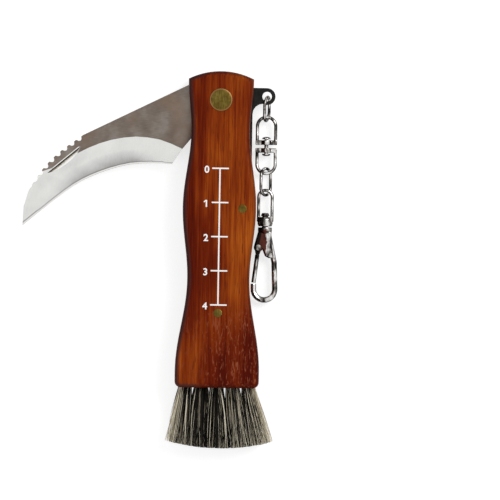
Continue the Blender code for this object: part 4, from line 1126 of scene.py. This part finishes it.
def brush_hair(name):
    """Every hair of the five tufts, each a bent copy of one modelled hair, in one skin."""
    shape, shape_faces = one_hair()
    along = shape[:, 2]
    bend, wave = along**HAIR_BEND_POWER, np.sin(along * math.pi)
    draw = np.random.default_rng(HAIR_SEED)
    points, faces, tones = [], [], []
    middle = (BLOCK_FLOOR + BLOCK_CEILING) / 2
    reach = TUFT_PITCH * (TUFTS - 1) / 2 * TIP_SPREAD_SHARE + TUFT_HALF * SIDE_SPREAD_SHARE
    for tuft in range(TUFTS):
        centre = TUFT_PITCH * (tuft - (TUFTS - 1) / 2)
        locks = draw.normal(0, LOCK_DIFFERENCE, (LOCKS, 2))
        for _ in range(HAIRS_PER_TUFT):
            turn, out = draw.uniform(0, math.tau), math.sqrt(draw.uniform(0, 1))
            x, z = TUFT_HALF * out * math.cos(turn), TUFT_HALF * out * math.sin(turn)
            pull, paling = locks[int(turn / math.tau * LOCKS) % LOCKS]
            stray = draw.normal(0, HAIR_STRAY, 2)
            tip_x = centre * TIP_SPREAD_SHARE + x * SIDE_SPREAD_SHARE + pull * LOCK_PULL + stray[0]
            tip_z = z * DEPTH_SPREAD_SHARE + stray[1]
            tip_x = max(-reach, min(reach, tip_x))
            drop = HAIR_REACH - CORNER_RISE * (tip_x / reach) ** 2 - abs(draw.normal(0, CUT_UNEVENNESS))
            waves = draw.normal(0, HAIR_WAVE, 2)
            thick = draw.uniform(*HAIR_RADII)
            x += centre
            first = len(points) * len(shape)
            points.append(np.column_stack([
                x + (tip_x + TIP_LEAN - x) * bend + waves[0] * wave + shape[:, 0] * thick,
                BLOCK_FACE + HAIR_ROOT_DEPTH - (drop + HAIR_ROOT_DEPTH) * along,
                middle + z + (tip_z - z) * bend + waves[1] * wave + shape[:, 1] * thick,
            ]))
            faces.extend([[first + corner for corner in reversed(face)] for face in shape_faces])
            outer = (abs(tip_x) / reach) ** CORNER_POWER
            pale = draw.uniform(0, 1) < PALE_SHARE + CORNER_PALING * outer + LOCK_PALING * paling
            tone = draw.uniform(*(PALE_TONES if pale else DARK_TONES))
            tones.append(np.clip(tone + TIP_PALING * (along - TONE_PLACE), 0, 1))
    mesh = bpy.data.meshes.new(name)
    mesh.from_pydata(np.concatenate(points).tolist(), [], faces)
    tone_layer = mesh.attributes.new("hair_tone", "FLOAT", "POINT")
    tone_layer.data.foreach_set("value", np.concatenate(tones))
    piece = bpy.data.objects.new(name, mesh)
    bpy.context.scene.collection.objects.link(piece)
    return piece


hair = brush_hair("brush_hair")
coat(hair, animal_hair())
smooth(hair, degrees=80)
slice_middle = (0, BLOCK_FACE + BLOCK_SLICE / 2, (BLOCK_FLOOR + BLOCK_CEILING) / 2)
slice_piece = block(slice_middle, (2 * BLOCK_HALF, BLOCK_SLICE, BLOCK_CEILING - BLOCK_FLOOR))
slice_piece.name = "brush_foot"
for tuft in range(TUFTS):
    middle = (TUFT_PITCH * (tuft - (TUFTS - 1) / 2), BLOCK_FACE, slice_middle[2])
    shaped_by(slice_piece, "DIFFERENCE", rod_along(middle, TUFT_HOLE, 2 * MM))
modify(
    slice_piece, "BEVEL", width=FOOT_ROUNDING, segments=2, limit_method="ANGLE", angle_limit=math.radians(60)
)
block_finish = raw_block_wood()
coat(smooth(slice_piece), block_finish)
coat(nodes["brush_block"], block_finish)
for part, slot in ((hair, "brush_hair"), (slice_piece, "block_wood")):
    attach(part, "handle")
    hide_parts("bristles")
